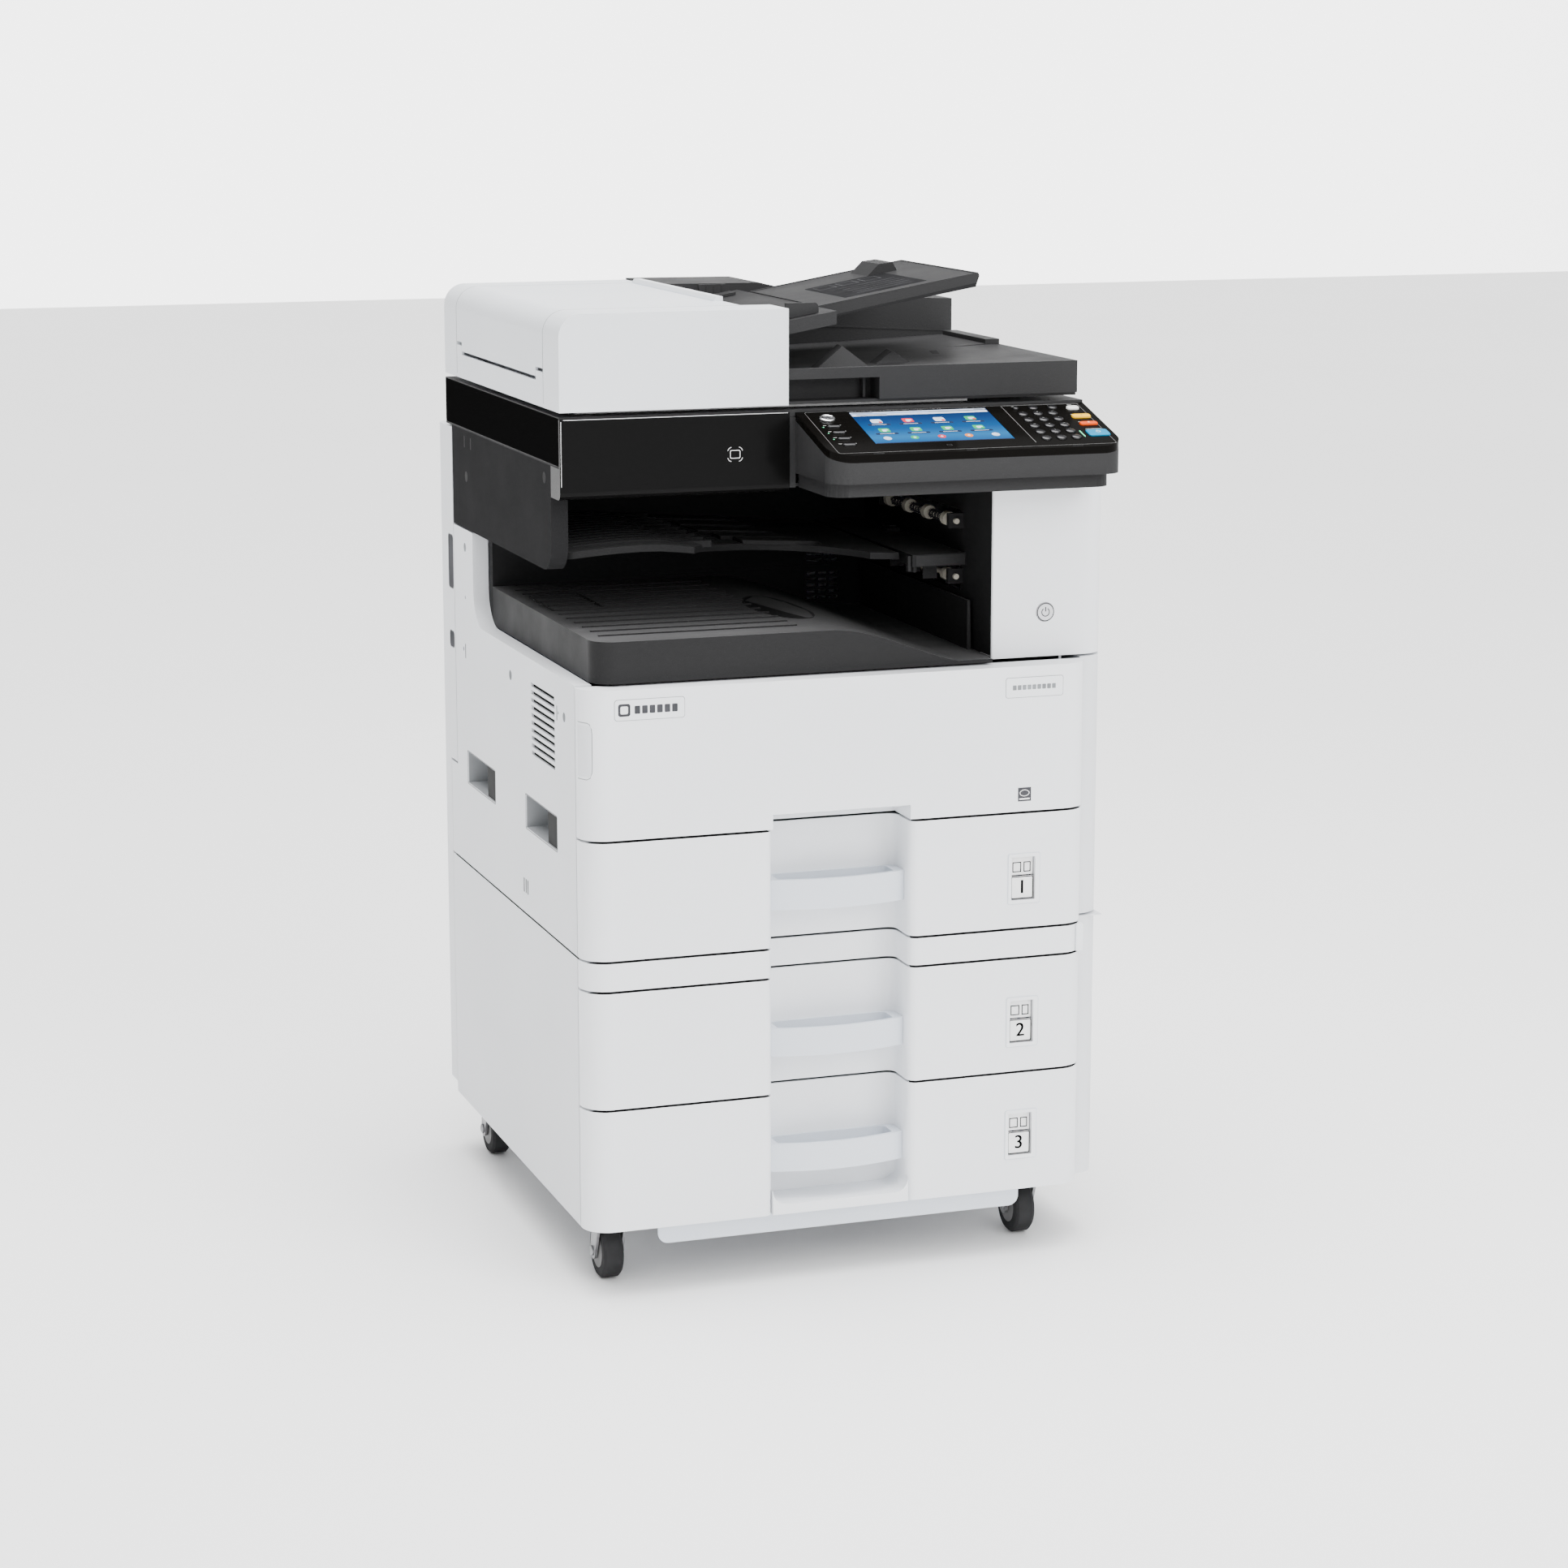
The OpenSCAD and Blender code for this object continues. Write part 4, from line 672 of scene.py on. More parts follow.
def make_cover_badges():
    face = front(0)
    b = Build("cover_badge", "front_white", "front_cover")
    mark(b, rounded(33, 107.4, 619.4, 640.4, 3), face, 0.35)
    b.use(seam_grey)
    rim(b, 32.5, 107.9, 618.9, 640.9, 0.5, (3.3, 3), face, 0.02, 0.25)
    b.use(print_grey)
    rim(b, 36.5, 49.5, 623.4, 636.4, 2.5, (2.5, 1.5), face, 0.3, 0.5)
    for k in range(6):
        plate(b, rounded(54 + 8 * k, 60 + 8 * k, 625.6, 634.0, 1), face, 0.3, 0.45)
    b.done(0.00005)
    b = Build("cover_plate", "front_white", "front_cover")
    mark(b, rounded(462.6, 527.4, 617.8, 638.6, 2.4), face, 0.35)
    b.use(seam_grey)
    rim(b, 462.1, 527.9, 617.3, 639.1, 0.5, (2.7, 2.4), face, 0.02, 0.25)
    for k in range(9):
        plate(b, rounded(470 + 5.6 * k, 474.4 + 5.6 * k, 625.6, 630.8, 0.6, 2), face, 0.3, 0.42)
    b.done(0.00005)
    b = Build("cover_sticker", "front_white", "front_cover").use(print_grey)
    mark(b, rect(477.6, 492.6, 505.2, 520.2), face, 0.15)
    b.use(card_white)
    ring(b, oval(485.1, 514.2, 5.6, 3.6), oval(485.1, 514.2, 4.9, 2.9), face, 0.14, 0.24)
    plate(b, rect(479.2, 491, 507, 508.6), face, 0.14, 0.24)
    b.done(0.00005)
    # painted shade: a grey line along the rim of the finger recess that follows the rounded corner
    b = Build("cover_finger_pull_shade_line", "front_white", "front_cover").use(seam_grey)

    def corner(angle, z, out=0.0):
        """Point on the rounded corner, the angle counted in degrees from the left side."""
        turn, r = math.radians(angle), CORNER_R + out
        return at(CORNER_R - r * math.cos(turn), CORNER_R - r * math.sin(turn), z)

    outline = ([(u, 558) for u in range(8, 40, 6)] + [(46, 560), (50, 565)]
               + [(51, z) for z in range(570, 608, 6)] + [(50, 611), (46, 615.5)]
               + [(u, 617) for u in range(40, 7, -6)])
    b.tube([corner(u, z, -0.25) for u, z in outline], 0.5 * MM, 6)
    b.done(0)
    # painted shade: a darker patch inside the finger recess
    b = Build("cover_finger_shade", "side_white", "front_cover")
    for start in range(8, 48, 4):
        patch = ((start, 561), (start + 4, 561), (start + 4, 614), (start, 614))
        stack(b, [[corner(angle, z, h) for angle, z in patch] for h in (0.02, 0.12)])
    b.done(0)


def make_power_mark():
    face = front(PILLAR_FRONT)
    x, z = 522, 701
    b = Build("power_button_mark", "button_grey", "power_button")
    mark(b, circle(x, z, 9.9, 48), face, 0.3)
    b.use(print_grey)
    ring(b, circle(x, z, 9.9, 48), circle(x, z, 8.8, 48), face, 0.28, 0.42)
    outline = arc(x, z, 4.9, 125, 415, 24) + arc(x, z, 3.8, 415, 125, 24)
    plate(b, outline, face, 0.28, 0.42)
    plate(b, rounded(x - 0.6, x + 0.6, z + 0.6, z + 5.6, 0.3, 2), face, 0.28, 0.42)
    b.done(0.00005)


# ---------- left side and back ----------

def make_left_side():
    face = left()
    b = Build("side_screw_caps", "side_white")
    for y, z, r in ((484, 735, 6), (289.6, 620.8, 6.5), (73.6, 612.3, 6), (486, 677.6, 2.4), (96, 613, 2),
                    (497, 617, 3)):
        b.use(M["handle_grey"])
        ring(b, circle(y, z, r, 24), circle(y, z, r * 0.85, 24), face, INLAY_LOW, 0.04)
        b.use(seam_grey)
        inlay(b, circle(y, z, r * 0.85, 24), face)
    b.use(seam_grey)
    inlay(b, rounded(487, 491, 607, 624, 1.5), face)
    inlay(b, rounded(100, 103, 604, 620, 1.2), face)
    b.done(0)
    b = Build("rear_strip_slots", "handle_grey").use(print_grey)
    inlay(b, rounded(540, 562, 680, 741, 4), face)
    inlay(b, rounded(541, 561, 611, 629, 4), face)
    b.use(seam_grey)
    rim(b, 539, 563, 679, 742, 1, (5, 4), face, INLAY_LOW, 0.04)
    rim(b, 540, 562, 610, 630, 1, (5, 4), face, INLAY_LOW, 0.04)
    b.done(0)
    b = Build("louvre_backing", "cavity_black")
    for y in (106, 158):
        b.box((4, y, 543), (6, y + 52.6, 632))
    for i in range(3):
        b.box((0.5, 226.2 + 8 * i, 389.2), (6, 230.8 + 8 * i, 404.8))
    b.done(0.0003)
    b = Build("side_grip_lining", "side_white")
    for y0, y1 in ((106, 233), (363, 488)):
        b.use(inner_grey)
        b.box((1.2, y1 - 0.8, 463.2), (26.8, y1 - 0.2, 499.8))
        b.box((1.2, y0 + 0.3, 463.2), (26.8, y1 - 0.9, 463.7))
        b.box((26.2, y0 + 45, 463.8), (26.8, y1 - 0.9, 499.8))
        b.use(seam_grey)
        rim(b, y0 - 1.2, y1 + 1.2, 461.8, 501.2, 1.0, (3, 2), face, INLAY_LOW, 0.04)
    b.done(0)
    b = Build("side_grip_shadows", "cavity_black")
    for y0, y1 in ((106.4, 150), (363.4, 405)):
        b.box((2.2, y0, 463.4), (26.6, y1, 499.6))
    b.done(0.0008)


def make_back():
    face = back(BACK_WALL)
    b = Build("rear_screws", "caster_steel")
    for x in (24, 297, 570):
        for z in (120, 470, 840):
            plate(b, circle(x, z, 4, 20), face, -0.4, 0.0)
    b.done(0.0003)
    b = Build("rear_vent_backing", "cavity_black")
    for x in (106, 336):
        b.box((x, 599, 586), (x + 98, 601, 716))
    b.done(0.0004)
    b = Build("inlet_contacts", "caster_steel")
    for x in (67.6, 74.6, 81.6):
        b.box((x, 586, 140.6), (x + 0.9, 599, 145.4))
    b.done(0.0002)


# ---------- scanner and cavity ----------

def make_scanner_trim():
    face = front(SCANNER_FRONT)
    b = Build("scanner_edge_line", "handle_grey").use(silver)
    mark(b, rect(4, 246, 918.2, 918.8), face, 0.12)
    mark(b, rect(1.2, 1.8, 850, 917), face, 0.12)
    b.done(0)
    b = Build("scanner_read_mark", "handle_grey").use(silver)
    x, z = 188.3, 877.3
    rim(b, x - 5.6, x + 5.6, z - 4.4, z + 4.4, 0.7, (1.6, 1.2), face, 0.02, 0.1)
    for sx, sz, angle in ((-1, -1, 180), (-1, 1, 90), (1, -1, 270), (1, 1, 0)):
        u, v, start, end = x + sx * 3.2, z + sz * 2.6, angle + 12, angle + 78
        mark(b, arc(u, v, 5.2, start, end, 6) + arc(u, v, 4.6, end, start, 6), face, 0.1)
    b.done(0)
    side = left()
    b = Build("scanner_side_screws", "cavity_black")
    for y, z in ((471.9, 816.6), (139.5, 853.5)):
        inlay(b, circle(y, z, 6, 24), side)
    for y in (478, 450):
        inlay(b, rounded(y - 2, y + 2, 849, 862, 1), side)
    inlay(b, rect(81.6, 560.4, 868.6, 870.0), side)
    b.done(0)
    b = Build("scanner_side_gloss", "gloss_black").use(side_gloss)
    inlay(b, rect(82, 560, 871, 920), side)
    b.done(0)


def hump(x):
    """Top of the separator tray."""
    def wave(u):
        return 773 + 5 * math.sin(math.radians(u - 22)) - max(0.0, u - 120) * 0.062
    return wave(min(x, 200)) - max(0.0, x - 200) * 0.06


def slat(b, x0, x1, y, half, rise):
    """Rib along the separator that ends in a rounded lobe."""
    n, lift = 14, 0.2
    xs = [x0 + (x1 - x0) * i / n for i in range(n + 1)]
    rings = []
    for i, x in enumerate(xs):
        taper = 1.0 if i < n - 1 else (0.75 if i == n - 1 else 0.3)
        top = hump(x) + lift + rise * taper
        w = half * taper
        rings.append([at(x, y - w, hump(x) - 1), at(x, y + w, hump(x) - 1), at(x, y + w * 0.8, top),
                      at(x, y - w * 0.8, top)])
    stack(b, rings)


def make_separator():
    # the slats and lobes carry painted light on their upper faces
    b = Build("separator_slats", "charcoal").use(paper_path_painted_top_light)
    for i in range(13):
        y = 190 + 18 * i
        slat(b, 28, 196 + 9 * i, y, 5.5, 1.6)
    slat(b, 28, 150, 172, 5.5, 1.6)
    b.done(0.0004)
    b = Build("separator_lobes", "charcoal").use(paper_path_painted_top_light)
    for x0, x1, y in ((196, 296, 404), (208, 300, 352), (212, 306, 300), (222, 316, 250), (236, 330, 216)):
        slat(b, x0, x1, y, 19, 3.4)
    b.done(0.001, 3)
    b = Build("shelf_details", "charcoal")
    b.box((441, 300, 757), (456, 334, 761))
    b.box((444, 304, 761), (453, 330, 764))
    b.box((396, 118, 739), (400, 124, 756))
    b.done(0.0006)
    Build("shelf_front_bar", "charcoal").box((404, 114.6, 745), (460.6, 115, 756)).done(0.0001)


def tray_fall(x):
    """How far the output tray lies below its flat part."""
    return FALL_HALF * (1 - math.cos(math.pi * max(0.0, x - FALL_START) / FALL_LENGTH))


def make_cavity():
    b = Build("back_wall_ridges", "cavity_black")
    b.box((190, 428.8, 702), (419.5, 430, 704.2))
    b.box((417.3, 428.8, 704.2), (419.5, 430, 723))
    for i in range(5):
        for x in (402.2, 415.2):
            b.box((x, 429.4, 663.6 + 7 * i), (x + 2, 433, 668 + 7 * i))
    for i in range(2):
        b.box((408.6, 429.4, 706.6 + 7 * i), (410.6, 433, 711 + 7 * i))
    for i in range(5):
        for x in (390, 427.8):
            b.box((x, 429.6, 664 + 7 * i), (x + 1.2, 433, 664.9 + 7 * i))
    b.done(0.0003)
    b = Build("star_wheels", "cavity_black", "exit_rollers_upper")
    for k, y in enumerate((158, 166, 174, 182, 190, 216, 224, 232, 240, 248, 274, 282, 290, 298, 306)):
        teeth, outline = 14, []
        for i in range(2 * teeth):
            r, turn = 5.8 if i % 2 else 4.2, math.pi * i / teeth + k
            outline.append((452 + r * math.cos(turn), 791 + r * math.sin(turn)))
        plate(b, outline, front(y), 0, 1.0)
    b.done(0)
    b = Build("stop_wall_edge", "charcoal")
    edge = ((452, 657), (456.5, 657), (455, 710), (452, 710))
    b.prism([at(x, 85.6, z) for x, z in edge], (0, 0.4 * MM, 0))
    b.done(0)
    # finger scoop and flap on the output tray
    b = Build("tray_scoop", "cavity_black")
    outline = oval(272, 186, 30, 84, 40)

    def lay(u, v, h):
        return at(u, v, TRAY_FLAT + 0.05 - tray_fall(u) + h)

    plate(b, outline, lay, -0.6, 0.1)
    b.use(M["charcoal"])
    ring(b, outline, oval(272, 186, 30 * 0.93, 84 * 0.97, 40), lay, -0.6, 0.5, -0.4)
    b.done(0)
    b = Build("tray_flap", "charcoal")
    rim(b, 34, 92, 236, 340, 1, (3, 3), flat(TRAY_FLAT), 0.3, 1.9)
    b.done(0.0002)
    b = Build("tray_front_edge", "charcoal").use(M["fuser_grey"])
    b.tube([at(x, 20.9, TRAY_FLAT - tray_fall(x) - 1.0) for x in range(44, 414, 9)], 0.8 * MM, 6)
    b.done(0)


# ---------- control panel ----------

# columns and rows of the number keys, the function keys and the run keys
KEY_X, KEY_Y = (500, 517, 534), (53.6, 37.6, 21.6, 5.5, -10.5)
FUNCTION_X, FUNCTION_Y = 283, (39, 23, 7, -9)
RUN_X = 562


def dome(b, place, r):
    steps = [(-3.6, 1.0), (0.7, 1.0), (1.3, 0.95), (1.8, 0.78), (2.08, 0.52), (2.2, 0.24)]
    stack(b, [[place(u * s, v * s, h) for u, v in circle(0, 0, r, 24)] for h, s in steps])


def make_keys():
    b = Build("panel_keys_domed", "key_dark", "panel_keys")
    for x in KEY_X:
        for y in KEY_Y:
            dome(b, panel_at(x, y), 5.4)
    for x in (518, 540):
        dome(b, panel_at(x, 69.6), 5.4)
    dome(b, panel_at(498, 69.6), 3.4)
    for y in FUNCTION_Y:
        pillow(b, rounded(-6.9, 6.9, -2.4, 2.4, 2.2), panel_at(FUNCTION_X, y), -3.6, 2.0, 1.2)
    b.use(key_white)
    for i, text in enumerate("123456789 0"):
        if text != " ":
            digit(b, text, panel_at(KEY_X[i % 3], KEY_Y[i // 3]), 4.6, 2.12)
    pillow(b, rounded(-6.9, 6.9, -4.4, 4.4, 3.9), panel_at(RUN_X, 66), -3.6, 2.1, 2.2)
    b.use(silver)
    dish = ((-3.6, 1.0), (1.4, 1.0), (1.9, 0.95), (2.15, 0.86), (1.7, 0.78), (1.9, 0.5), (2.1, 0.2))
    stack(b, [[panel_at(FUNCTION_X, 60)(u * s, v * s, h) for u, v in circle(0, 0, 8.4, 36)] for h, s in dish])
    b.use(print_grey)
    ring(b, circle(0, 0, 2.9, 20), circle(0, 0, 2.2, 20), panel_at(FUNCTION_X, 60), 1.9, 2.2)
    b.done(0.00015, replaces=("panel_keys",))
    for name, slot, size, y, crown in (("reset_key", "key_yellow", (21, 9), 43, 2.2),
                                       ("stop_key", "key_orange", (20, 8), 23, 2.0),
                                       ("start_key", "key_cyan", (24, 16), -2, 3.4)):
        a, h = size[0] / 2 - 0.1, size[1] / 2 - 0.1
        b = Build(name + "_cap", slot, name)
        place = panel_at(RUN_X, y)
        pillow(b, rounded(-a, a, -h, h, 2.9), place, -3.6, 2.15, crown)
        b.use(print_grey if name == "reset_key" else key_white)
        if name == "start_key":
            ring(b, circle(0, 0, 2.6, 24), circle(0, 0, 2.0, 24), place, 2.0, 2.19)
            plate(b, rect(-0.3, 0.3, 0.2, 3.2), place, 2.0, 2.19)
        elif name == "stop_key":
            plate(b, rect(-1.0, 1.0, -1.0, 1.0), place, 2.0, 2.19)
        else:
            plate(b, [(-1.2, -1.0), (1.2, -1.0), (0, 1.2)], place, 2.0, 2.19)
        b.done(0.0001, replaces=(name,))


def make_panel_face():
    face = panel_plan()
    b = Build("bezel_trim", "bezel").use(silver)
    mark(b, rect(311, 467, 77.0, 77.8), face, 0.15)
    b.use(M["fuser_grey"])
    mark(b, rect(484.2, 484.8, -20, 77), face, 0.12)
    mark(b, rect(484.2, 574, 77.6, 78.1), face, 0.12)
    rim(b, 264, 572, -29.5, 79.4, 0.4, (3, 3), face, 0.02, 0.1)
    b.use(dark_gap)
    for x in (300, 402, 520):
        mark(b, rect(x, x + 12, -33.6, -32.2), face, 0.12)
    b.use(key_white)
    for x in KEY_X:
        for y in KEY_Y:
            mark(b, rect(x - 1.6, x + 1.6, y + 6.3, y + 6.7), face, 0.09)
    for y in FUNCTION_Y:
        mark(b, rect(272.5, 276, y + 4.0, y + 4.5), face, 0.09)
        mark(b, rect(280, 292, y + 4.0, y + 4.4), face, 0.09)
    for x in (498, 518, 540, 562):
        mark(b, rect(x - 2.6, x + 2.6, 75.4, 75.8), face, 0.09)
    for y in (49.6, 29, 9.6):
        mark(b, rect(553, 571, y, y + 0.4), face, 0.09)
    b.use(led_green)
    for y in FUNCTION_Y[:3]:
        mark(b, circle(271.5, y, 0.8, 12), face, 0.14)
    mark(b, rounded(543.6, 545, -10, 6, 0.6, 2), face, 0.14)
    b.done(0)
    b = Build("card_mark", "cavity_black").use(dark_gap)
    ring(b, rounded(386, 392, -20, -16, 0.6, 2),
         rounded(386.8, 391.2, -19.2, -16.8, 0.4, 2), face, 0.02, 0.1)
    b.done(0)


# left and right edge of what the display shows
SCREEN_X = (313, 465)


def make_screen():
    face = panel_plan(SCREEN_DROP)
    b = Build("display_content", "screen").use(icon_white)
    plate(b, rect(*SCREEN_X, 72.4, 75.4), face, 0.01, 0.05)
    plate(b, rect(*SCREEN_X, 65.6, 70.8), face, 0.01, 0.04)
    b.use(icon_dark)
    plate(b, rect(314.5, 338, 73.2, 74.2), face, 0.05, 0.08)
    plate(b, rect(318, 352, 67.4, 68.8), face, 0.04, 0.08)
    plate(b, rect(452, 462, 73.2, 74.2), face, 0.05, 0.08)
    b.use(icon_blue)
    plate(b, rect(313, 400, 71.0, 72.2), face, 0.01, 0.04)
    colours = ((icon_white, icon_red, icon_white, icon_green), (icon_green,) * 4)
    for row, y in enumerate((49.5, 25.5)):
        for col in range(4):
            x = 334 + 35 * col
            b.use(colours[row][col])
            mark(b, rounded(x - 6, x + 6, y - 3.8, y + 6.4, 2.2), face, 0.12)
            b.use(icon_white)
            plate(b, rounded(x - 2.4, x + 4.4, y - 2.2, y + 3.6, 1.4), face, 0.12, 0.2)
            b.use(icon_red if row == 0 else icon_green)
            plate(b, circle(x + 3.4, y - 1.6, 2.0, 14), face, 0.2, 0.28)
            b.use(icon_dark)
            mark(b, rounded(x - 12.5, x + 12.5, y - 9.6, y - 5.6, 1.6), face, 0.08)
            b.use(icon_white)
            plate(b, rect(x - 8, x + 8, y - 8.0, y - 7.2), face, 0.08, 0.12)
    for col, colour in enumerate((icon_white, icon_green, icon_red, icon_orange, icon_white)):
        x = 330 + 30 * col
        b.use(colour)
        mark(b, circle(x, 6.0, 4.4, 22), face, 0.12)
        b.use(icon_white)
        plate(b, circle(x, 6.0, 1.6, 12), face, 0.12, 0.18)
    b.use(icon_dark)
    plate(b, rect(*SCREEN_X, -7.4, -5.2), face, 0.01, 0.05)
    b.done(0)


# ---------- document feeder ----------

def make_feeder():
    top = FEEDER_TOP
    b = Build("feeder_ridge", "feeder_white", "feeder_top_cover").use(M["handle_grey"])
    b.prism([at(204.4, 201, top + 0.02), at(214.8, 201, top + 0.02), at(214.8, 201, top + 4.9),
             at(208.6, 201, top + 4.9)], (0, 302 * MM, 0))
    b.done(0.0006, 3)
    b = Build("eject_fins", "charcoal", "document_feeder")
    for x, y, run, rise in ((330, 150, 66, 24), (398, 176, 50, 15)):
        low = 954
        fin = [at(x - run * 0.45, y, low), at(x + run * 0.55, y, low), at(x + run * 0.12, y + 16, low + rise)]
        b.prism(fin, (2 * MM, 22 * MM, 0.5 * MM))
    b.done(0.0008, 3)
    b = Build("eject_slot", "cavity_black", "document_feeder")
    slot = [at(466, 224, 958.0), at(474, 224, 958.4), at(488, 276, 959.6), at(480, 276, 959.2)]
    b.prism(slot, (0, 0, 0.9 * MM))
    b.done(0.0001)
    b = Build("eject_flap", "charcoal", "document_feeder")
    b.box((556, 300, 962.6), (573.4, 430, 969))
    flap = [at(470, 300, 957.6), at(556, 300, 963), at(556, 430, 963), at(470, 430, 957.6)]
    b.prism(flap, (0, 0, 1.2 * MM))
    b.done(0.002, 3)
    b = Build("rear_housing_ledge", "charcoal", "document_feeder")
    b.prism([at(250, 447.4, 985), at(573.6, 447.4, 966), at(573.6, 447.4, 967.6), at(250, 447.4, 986.6)],
            (0, 0.6 * MM, 0))
    b.done(0.0001)
    b = Build("lift_pocket_edge", "charcoal", "document_feeder")
    b.box((337, 100, 929.4), (340, 108.6, 951.6))
    b.done(0.0004)


def make_document_tray():
    b = Build("tray_label", "charcoal", "document_tray").use(label_black)
    mark(b, rounded(352, 446, 196, 330, 2), tray_at, 0.2)
    b.use(label_grey)
    for i in range(5):
        plate(b, rect(372, 438, 214 + 15 * i, 215.4 + 15 * i), tray_at, 0.2, 0.26)
    for i in range(3):
        ring(b, rect(358 + 26 * i, 378 + 26 * i, 294, 320), rect(359 + 26 * i, 377 + 26 * i, 295, 319),
             tray_at, 0.2, 0.28)
    b.done(0)
    b = Build("tray_edges", "charcoal", "document_tray")
    ring(b, rect(313, 495, 171, 404), rect(315, 493, 173, 402), tray_at, 0.02, 1.0, -0.3)
    b.done(0.0004)
    b = Build("tray_under_strip", "cavity_black", "document_tray")
    b.prism([tray_at(330, 169.6, -13.6), tray_at(490, 169.6, -13.6), tray_at(490, 169.6, -9.5),
             tray_at(330, 169.6, -11.5)], (0, 0.5 * MM, 0))
    b.done(0.0001)
    b = Build("tray_wire", "caster_steel", "document_tray")
    wire = [tray_at(330 + run, 196 + 0.4 * run, -16.4 - 1.2 * math.sin(run / 30)) for run in range(0, 126, 9)]
    b.tube(wire, 1.0 * MM, 8)
    b.done(0)
    for body, y, inner in (("guide_front", 124, 1), ("guide_rear", 425, -1)):
        b = Build(body + "_rib", "charcoal", body)
        for x in (268, 277, 286):
            y0 = y + (4.9 if inner > 0 else -0.5)
            b.box((x, y0, tray_height(x) + 5), (x + 1.6, y0 + 0.6, 1026.6))
        b.done(0.0002)


# ---------- casters ----------

# trail of the axle behind the swivel, and its height
TRAIL, AXLE_Z = 14, 30


def make_casters():
    for tag, x, y in (("front_left", 42, 66), ("front_right", 515, 66), ("rear_left", 42, 535),
                      ("rear_right", 515, 535)):
        b = Build(f"axle_heads_{tag}", "caster_steel", f"caster_fork_{tag}")
        for side in (-1, 1):
            b.lathe([(0, 0), (5.6 * MM, 0), (5.6 * MM, 1.6 * MM), (3.4 * MM, 2.6 * MM), (0, 2.8 * MM)],
                    at(x + side * 16, y + TRAIL, AXLE_Z), (side, 0, 0), 24)
        b.lathe([(0, 0), (14 * MM, 0), (15 * MM, 1 * MM), (13 * MM, 2.2 * MM), (0, 2.4 * MM)], at(x, y, 66.2),
                (0, 0, 1), 32)
        b.done(0.0002)
        b = Build(f"wheel_hub_{tag}", "caster_black", f"caster_wheel_{tag}").use(M["fuser_grey"])
        for side in (-1, 1):
            stack(b, [[at(x + side * h, y + TRAIL + u, AXLE_Z + v) for u, v in circle(0, 0, r, 32)]
                      for h, r in ((10.8, 19), (11.3, 18.4), (11.5, 9), (11.9, 8.2))])
        b.use(M["caster_black"])
        for h in (-6, 0, 6):
            stack(b, [[at(x + h + w, y + TRAIL + u, AXLE_Z + v) for u, v in circle(0, 0, r, 40)]
                      for w, r in ((-1.6, 29.9), (-1.2, 30.0), (1.2, 30.0), (1.6, 29.9))])
        b.done(0)


def make_right_side():
    face = right(RIGHT_SIDE - 0.3)
    for name, body, area, radii in (("right_cover_latches", "right_cover_upper", (96, 122, 600, 640), (4, 3)),
                                    ("bypass_mark", "bypass_tray", (278, 322, 553, 567), (2, 1.5))):
        b = Build(name, "side_white", body).use(M["handle_grey"])
        rim(b, *area, 2, radii, face, -0.4, 0.25, -0.2)
        b.done(0.0001)


# ---------- carried-over CAD nodes ----------

# nodes whose finish differs from their slot's: the trays get painted light on their upper faces, the
# scanner's side is matt
SPECIAL_FINISH = {"scanner_side_panel": side_charcoal, "output_tray": paper_path_painted_top_light,
                  "separator_tray": paper_path_painted_top_light, "exit_shelf": paper_path_painted_top_light}


# widths of the rounded edges by slot, and the nodes that have none
EDGE_WIDTHS = {"front_white": 0.0010, "side_white": 0.0010, "feeder_white": 0.0016, "handle_grey": 0.0010,
               "charcoal": 0.0010, "gloss_black": 0.0008}
SHARP_NODES = ("platen_glass", "touch_screen", "guide_front", "guide_rear", "cavity_wall")


def finish_cad_nodes():
    """Gives every CAD node its finish by material slot, and small rounded edges to the covers."""
    for part in frame["record"]["subparts"]:
        node, slot = part["node"], part["material_slot"]
        obj = frame["nodes"][node]
        material = SPECIAL_FINISH.get(node, M[slot])
        if not obj.data.materials:
            obj.data.materials.append(material)
        for i in range(len(obj.data.materials)):
            obj.data.materials[i] = material
        soften(obj, 0.0 if node in SHARP_NODES else EDGE_WIDTHS.get(slot, 0.0), 2, 40)


# ---------- stage ----------

# half the side of the floor, in metres
FLOOR_HALF = 14.0


def add_stage():
    floor = bpy.data.meshes.new("floor")
    corners = [(u, v, 0) for u, v in rect(-FLOOR_HALF, FLOOR_HALF, -FLOOR_HALF, FLOOR_HALF)]
    floor.from_pydata(corners, [], [(0, 1, 2, 3)])
    obj = add_object("floor", floor)
    s = Surface("floor_paper")
    s.colour(s.ramp(s.noise(0.6, 2.0), [(0.3, (0.91, 0.91, 0.91)), (0.7, (0.93, 0.93, 0.93))]))
    s.set(Roughness=0.55)
    floor.materials.append(s.mat)


def area_light(name, place, target, size, power):
    data = bpy.data.lights.new(name, "AREA")
    data.shape = "RECTANGLE"
    data.size, data.size_y = size
    data.energy = power
    obj = add_object(name, data)
    obj.location = place
    obj.rotation_euler = (Vector(target) - Vector(place)).to_track_quat("-Z", "Y").to_euler()


# strength of the even room light and of what the wall, the ceiling and the front add to it
ROOM_LEVEL, WALL_GAIN, CEILING_GAIN, FRONT_GAIN = 0.5, 4.2, 7.5, 1.5
# lamps: name, place, target, size and power
LAMPS = (("key", (1.6, -3.6, 3.0), (0, 0, 0.5), (2.6, 2.6), 165),
         ("top", (-0.3, -0.2, 3.4), (0, 0, 0.8), (2.5, 2.5), 70),
         ("left_fill", (-3.6, -1.2, 1.8), (0, 0, 0.5), (2.0, 2.4), 7))
# camera: place, tilt and turn in degrees, focal length in millimetres
CAMERA_PLACE, CAMERA_TILT, CAMERA_TURN, CAMERA_LENS = (-1.293, -3.808, 1.310), 78.35, -18.97, 84.2


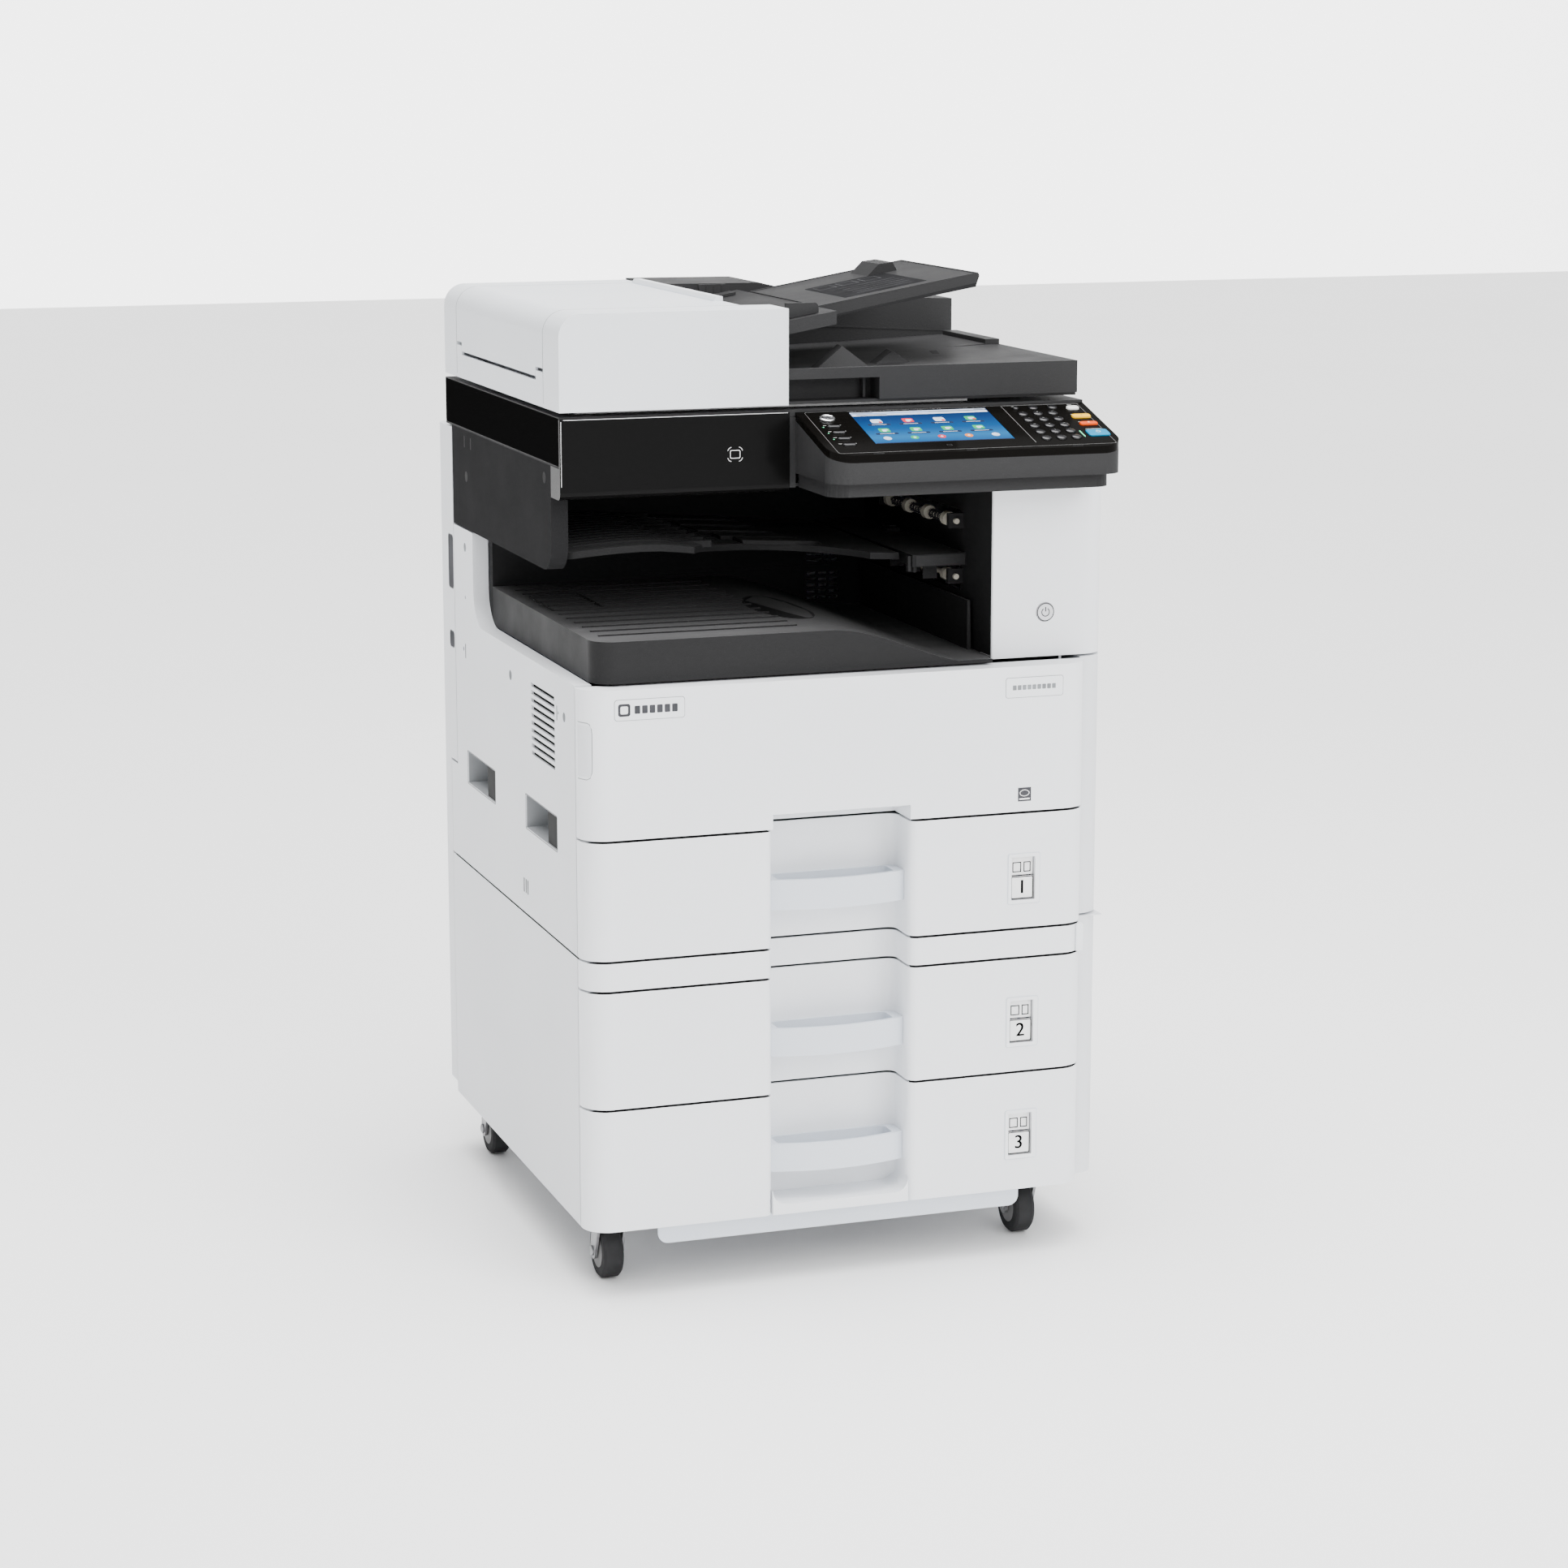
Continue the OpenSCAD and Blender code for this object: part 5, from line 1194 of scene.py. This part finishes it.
def add_light():
    world = bpy.data.worlds.new("studio")
    world.use_nodes = True
    tree = world.node_tree
    tree.nodes["Background"].inputs["Color"].default_value = (1, 1, 1, 1)
    split = tree.nodes.new("ShaderNodeSeparateXYZ")
    tree.links.new(tree.nodes.new("ShaderNodeTexCoord").outputs["Generated"], split.inputs["Vector"])

    def span(axis, start, end, low=0.0, high=1.0):
        node = tree.nodes.new("ShaderNodeMapRange")
        node.interpolation_type = "SMOOTHSTEP"
        for name, value in (("From Min", start), ("From Max", end), ("To Min", low), ("To Max", high)):
            node.inputs[name].default_value = value
        tree.links.new(split.outputs[axis], node.inputs["Value"])
        return node.outputs["Result"]

    def combine(operation, first, second):
        node = tree.nodes.new("ShaderNodeMath")
        node.operation = operation
        tree.links.new(first, node.inputs[0])
        tree.links.new(second, node.inputs[1])
        return node.outputs["Value"]

    # the wall is behind the object's right, and the ceiling and the front add to the room's light
    wall = combine("MULTIPLY", span("Y", 0.55, 0.9, 0.0, WALL_GAIN), span("X", -0.05, 0.12))
    wall = combine("MULTIPLY", wall, span("Z", 0.08, 0.22, 1.0, 0.0))
    total = combine("ADD", wall, span("Z", 0.72, 0.98, ROOM_LEVEL, ROOM_LEVEL + CEILING_GAIN))
    total = combine("ADD", total, span("Y", -0.95, -0.6, FRONT_GAIN, 0.0))
    tree.links.new(total, tree.nodes["Background"].inputs["Strength"])
    bpy.context.scene.world = world
    for lamp in LAMPS:
        area_light(*lamp)


def add_camera():
    data = bpy.data.cameras.new("camera")
    data.sensor_width = 36.0
    data.lens = CAMERA_LENS
    data.clip_end = 60.0
    obj = add_object("camera", data)
    obj.location = CAMERA_PLACE
    obj.rotation_euler = Euler((math.radians(CAMERA_TILT), 0, math.radians(CAMERA_TURN)))
    bpy.context.scene.camera = obj


add_camera()
add_stage()
add_light()
finish_cad_nodes()
for make in (make_label_windows, make_seams, make_cover_badges, make_power_mark, make_left_side,
             make_right_side, make_back, make_scanner_trim, make_separator, make_cavity, make_keys,
             make_panel_face, make_screen, make_feeder, make_document_tray, make_casters):
    make()
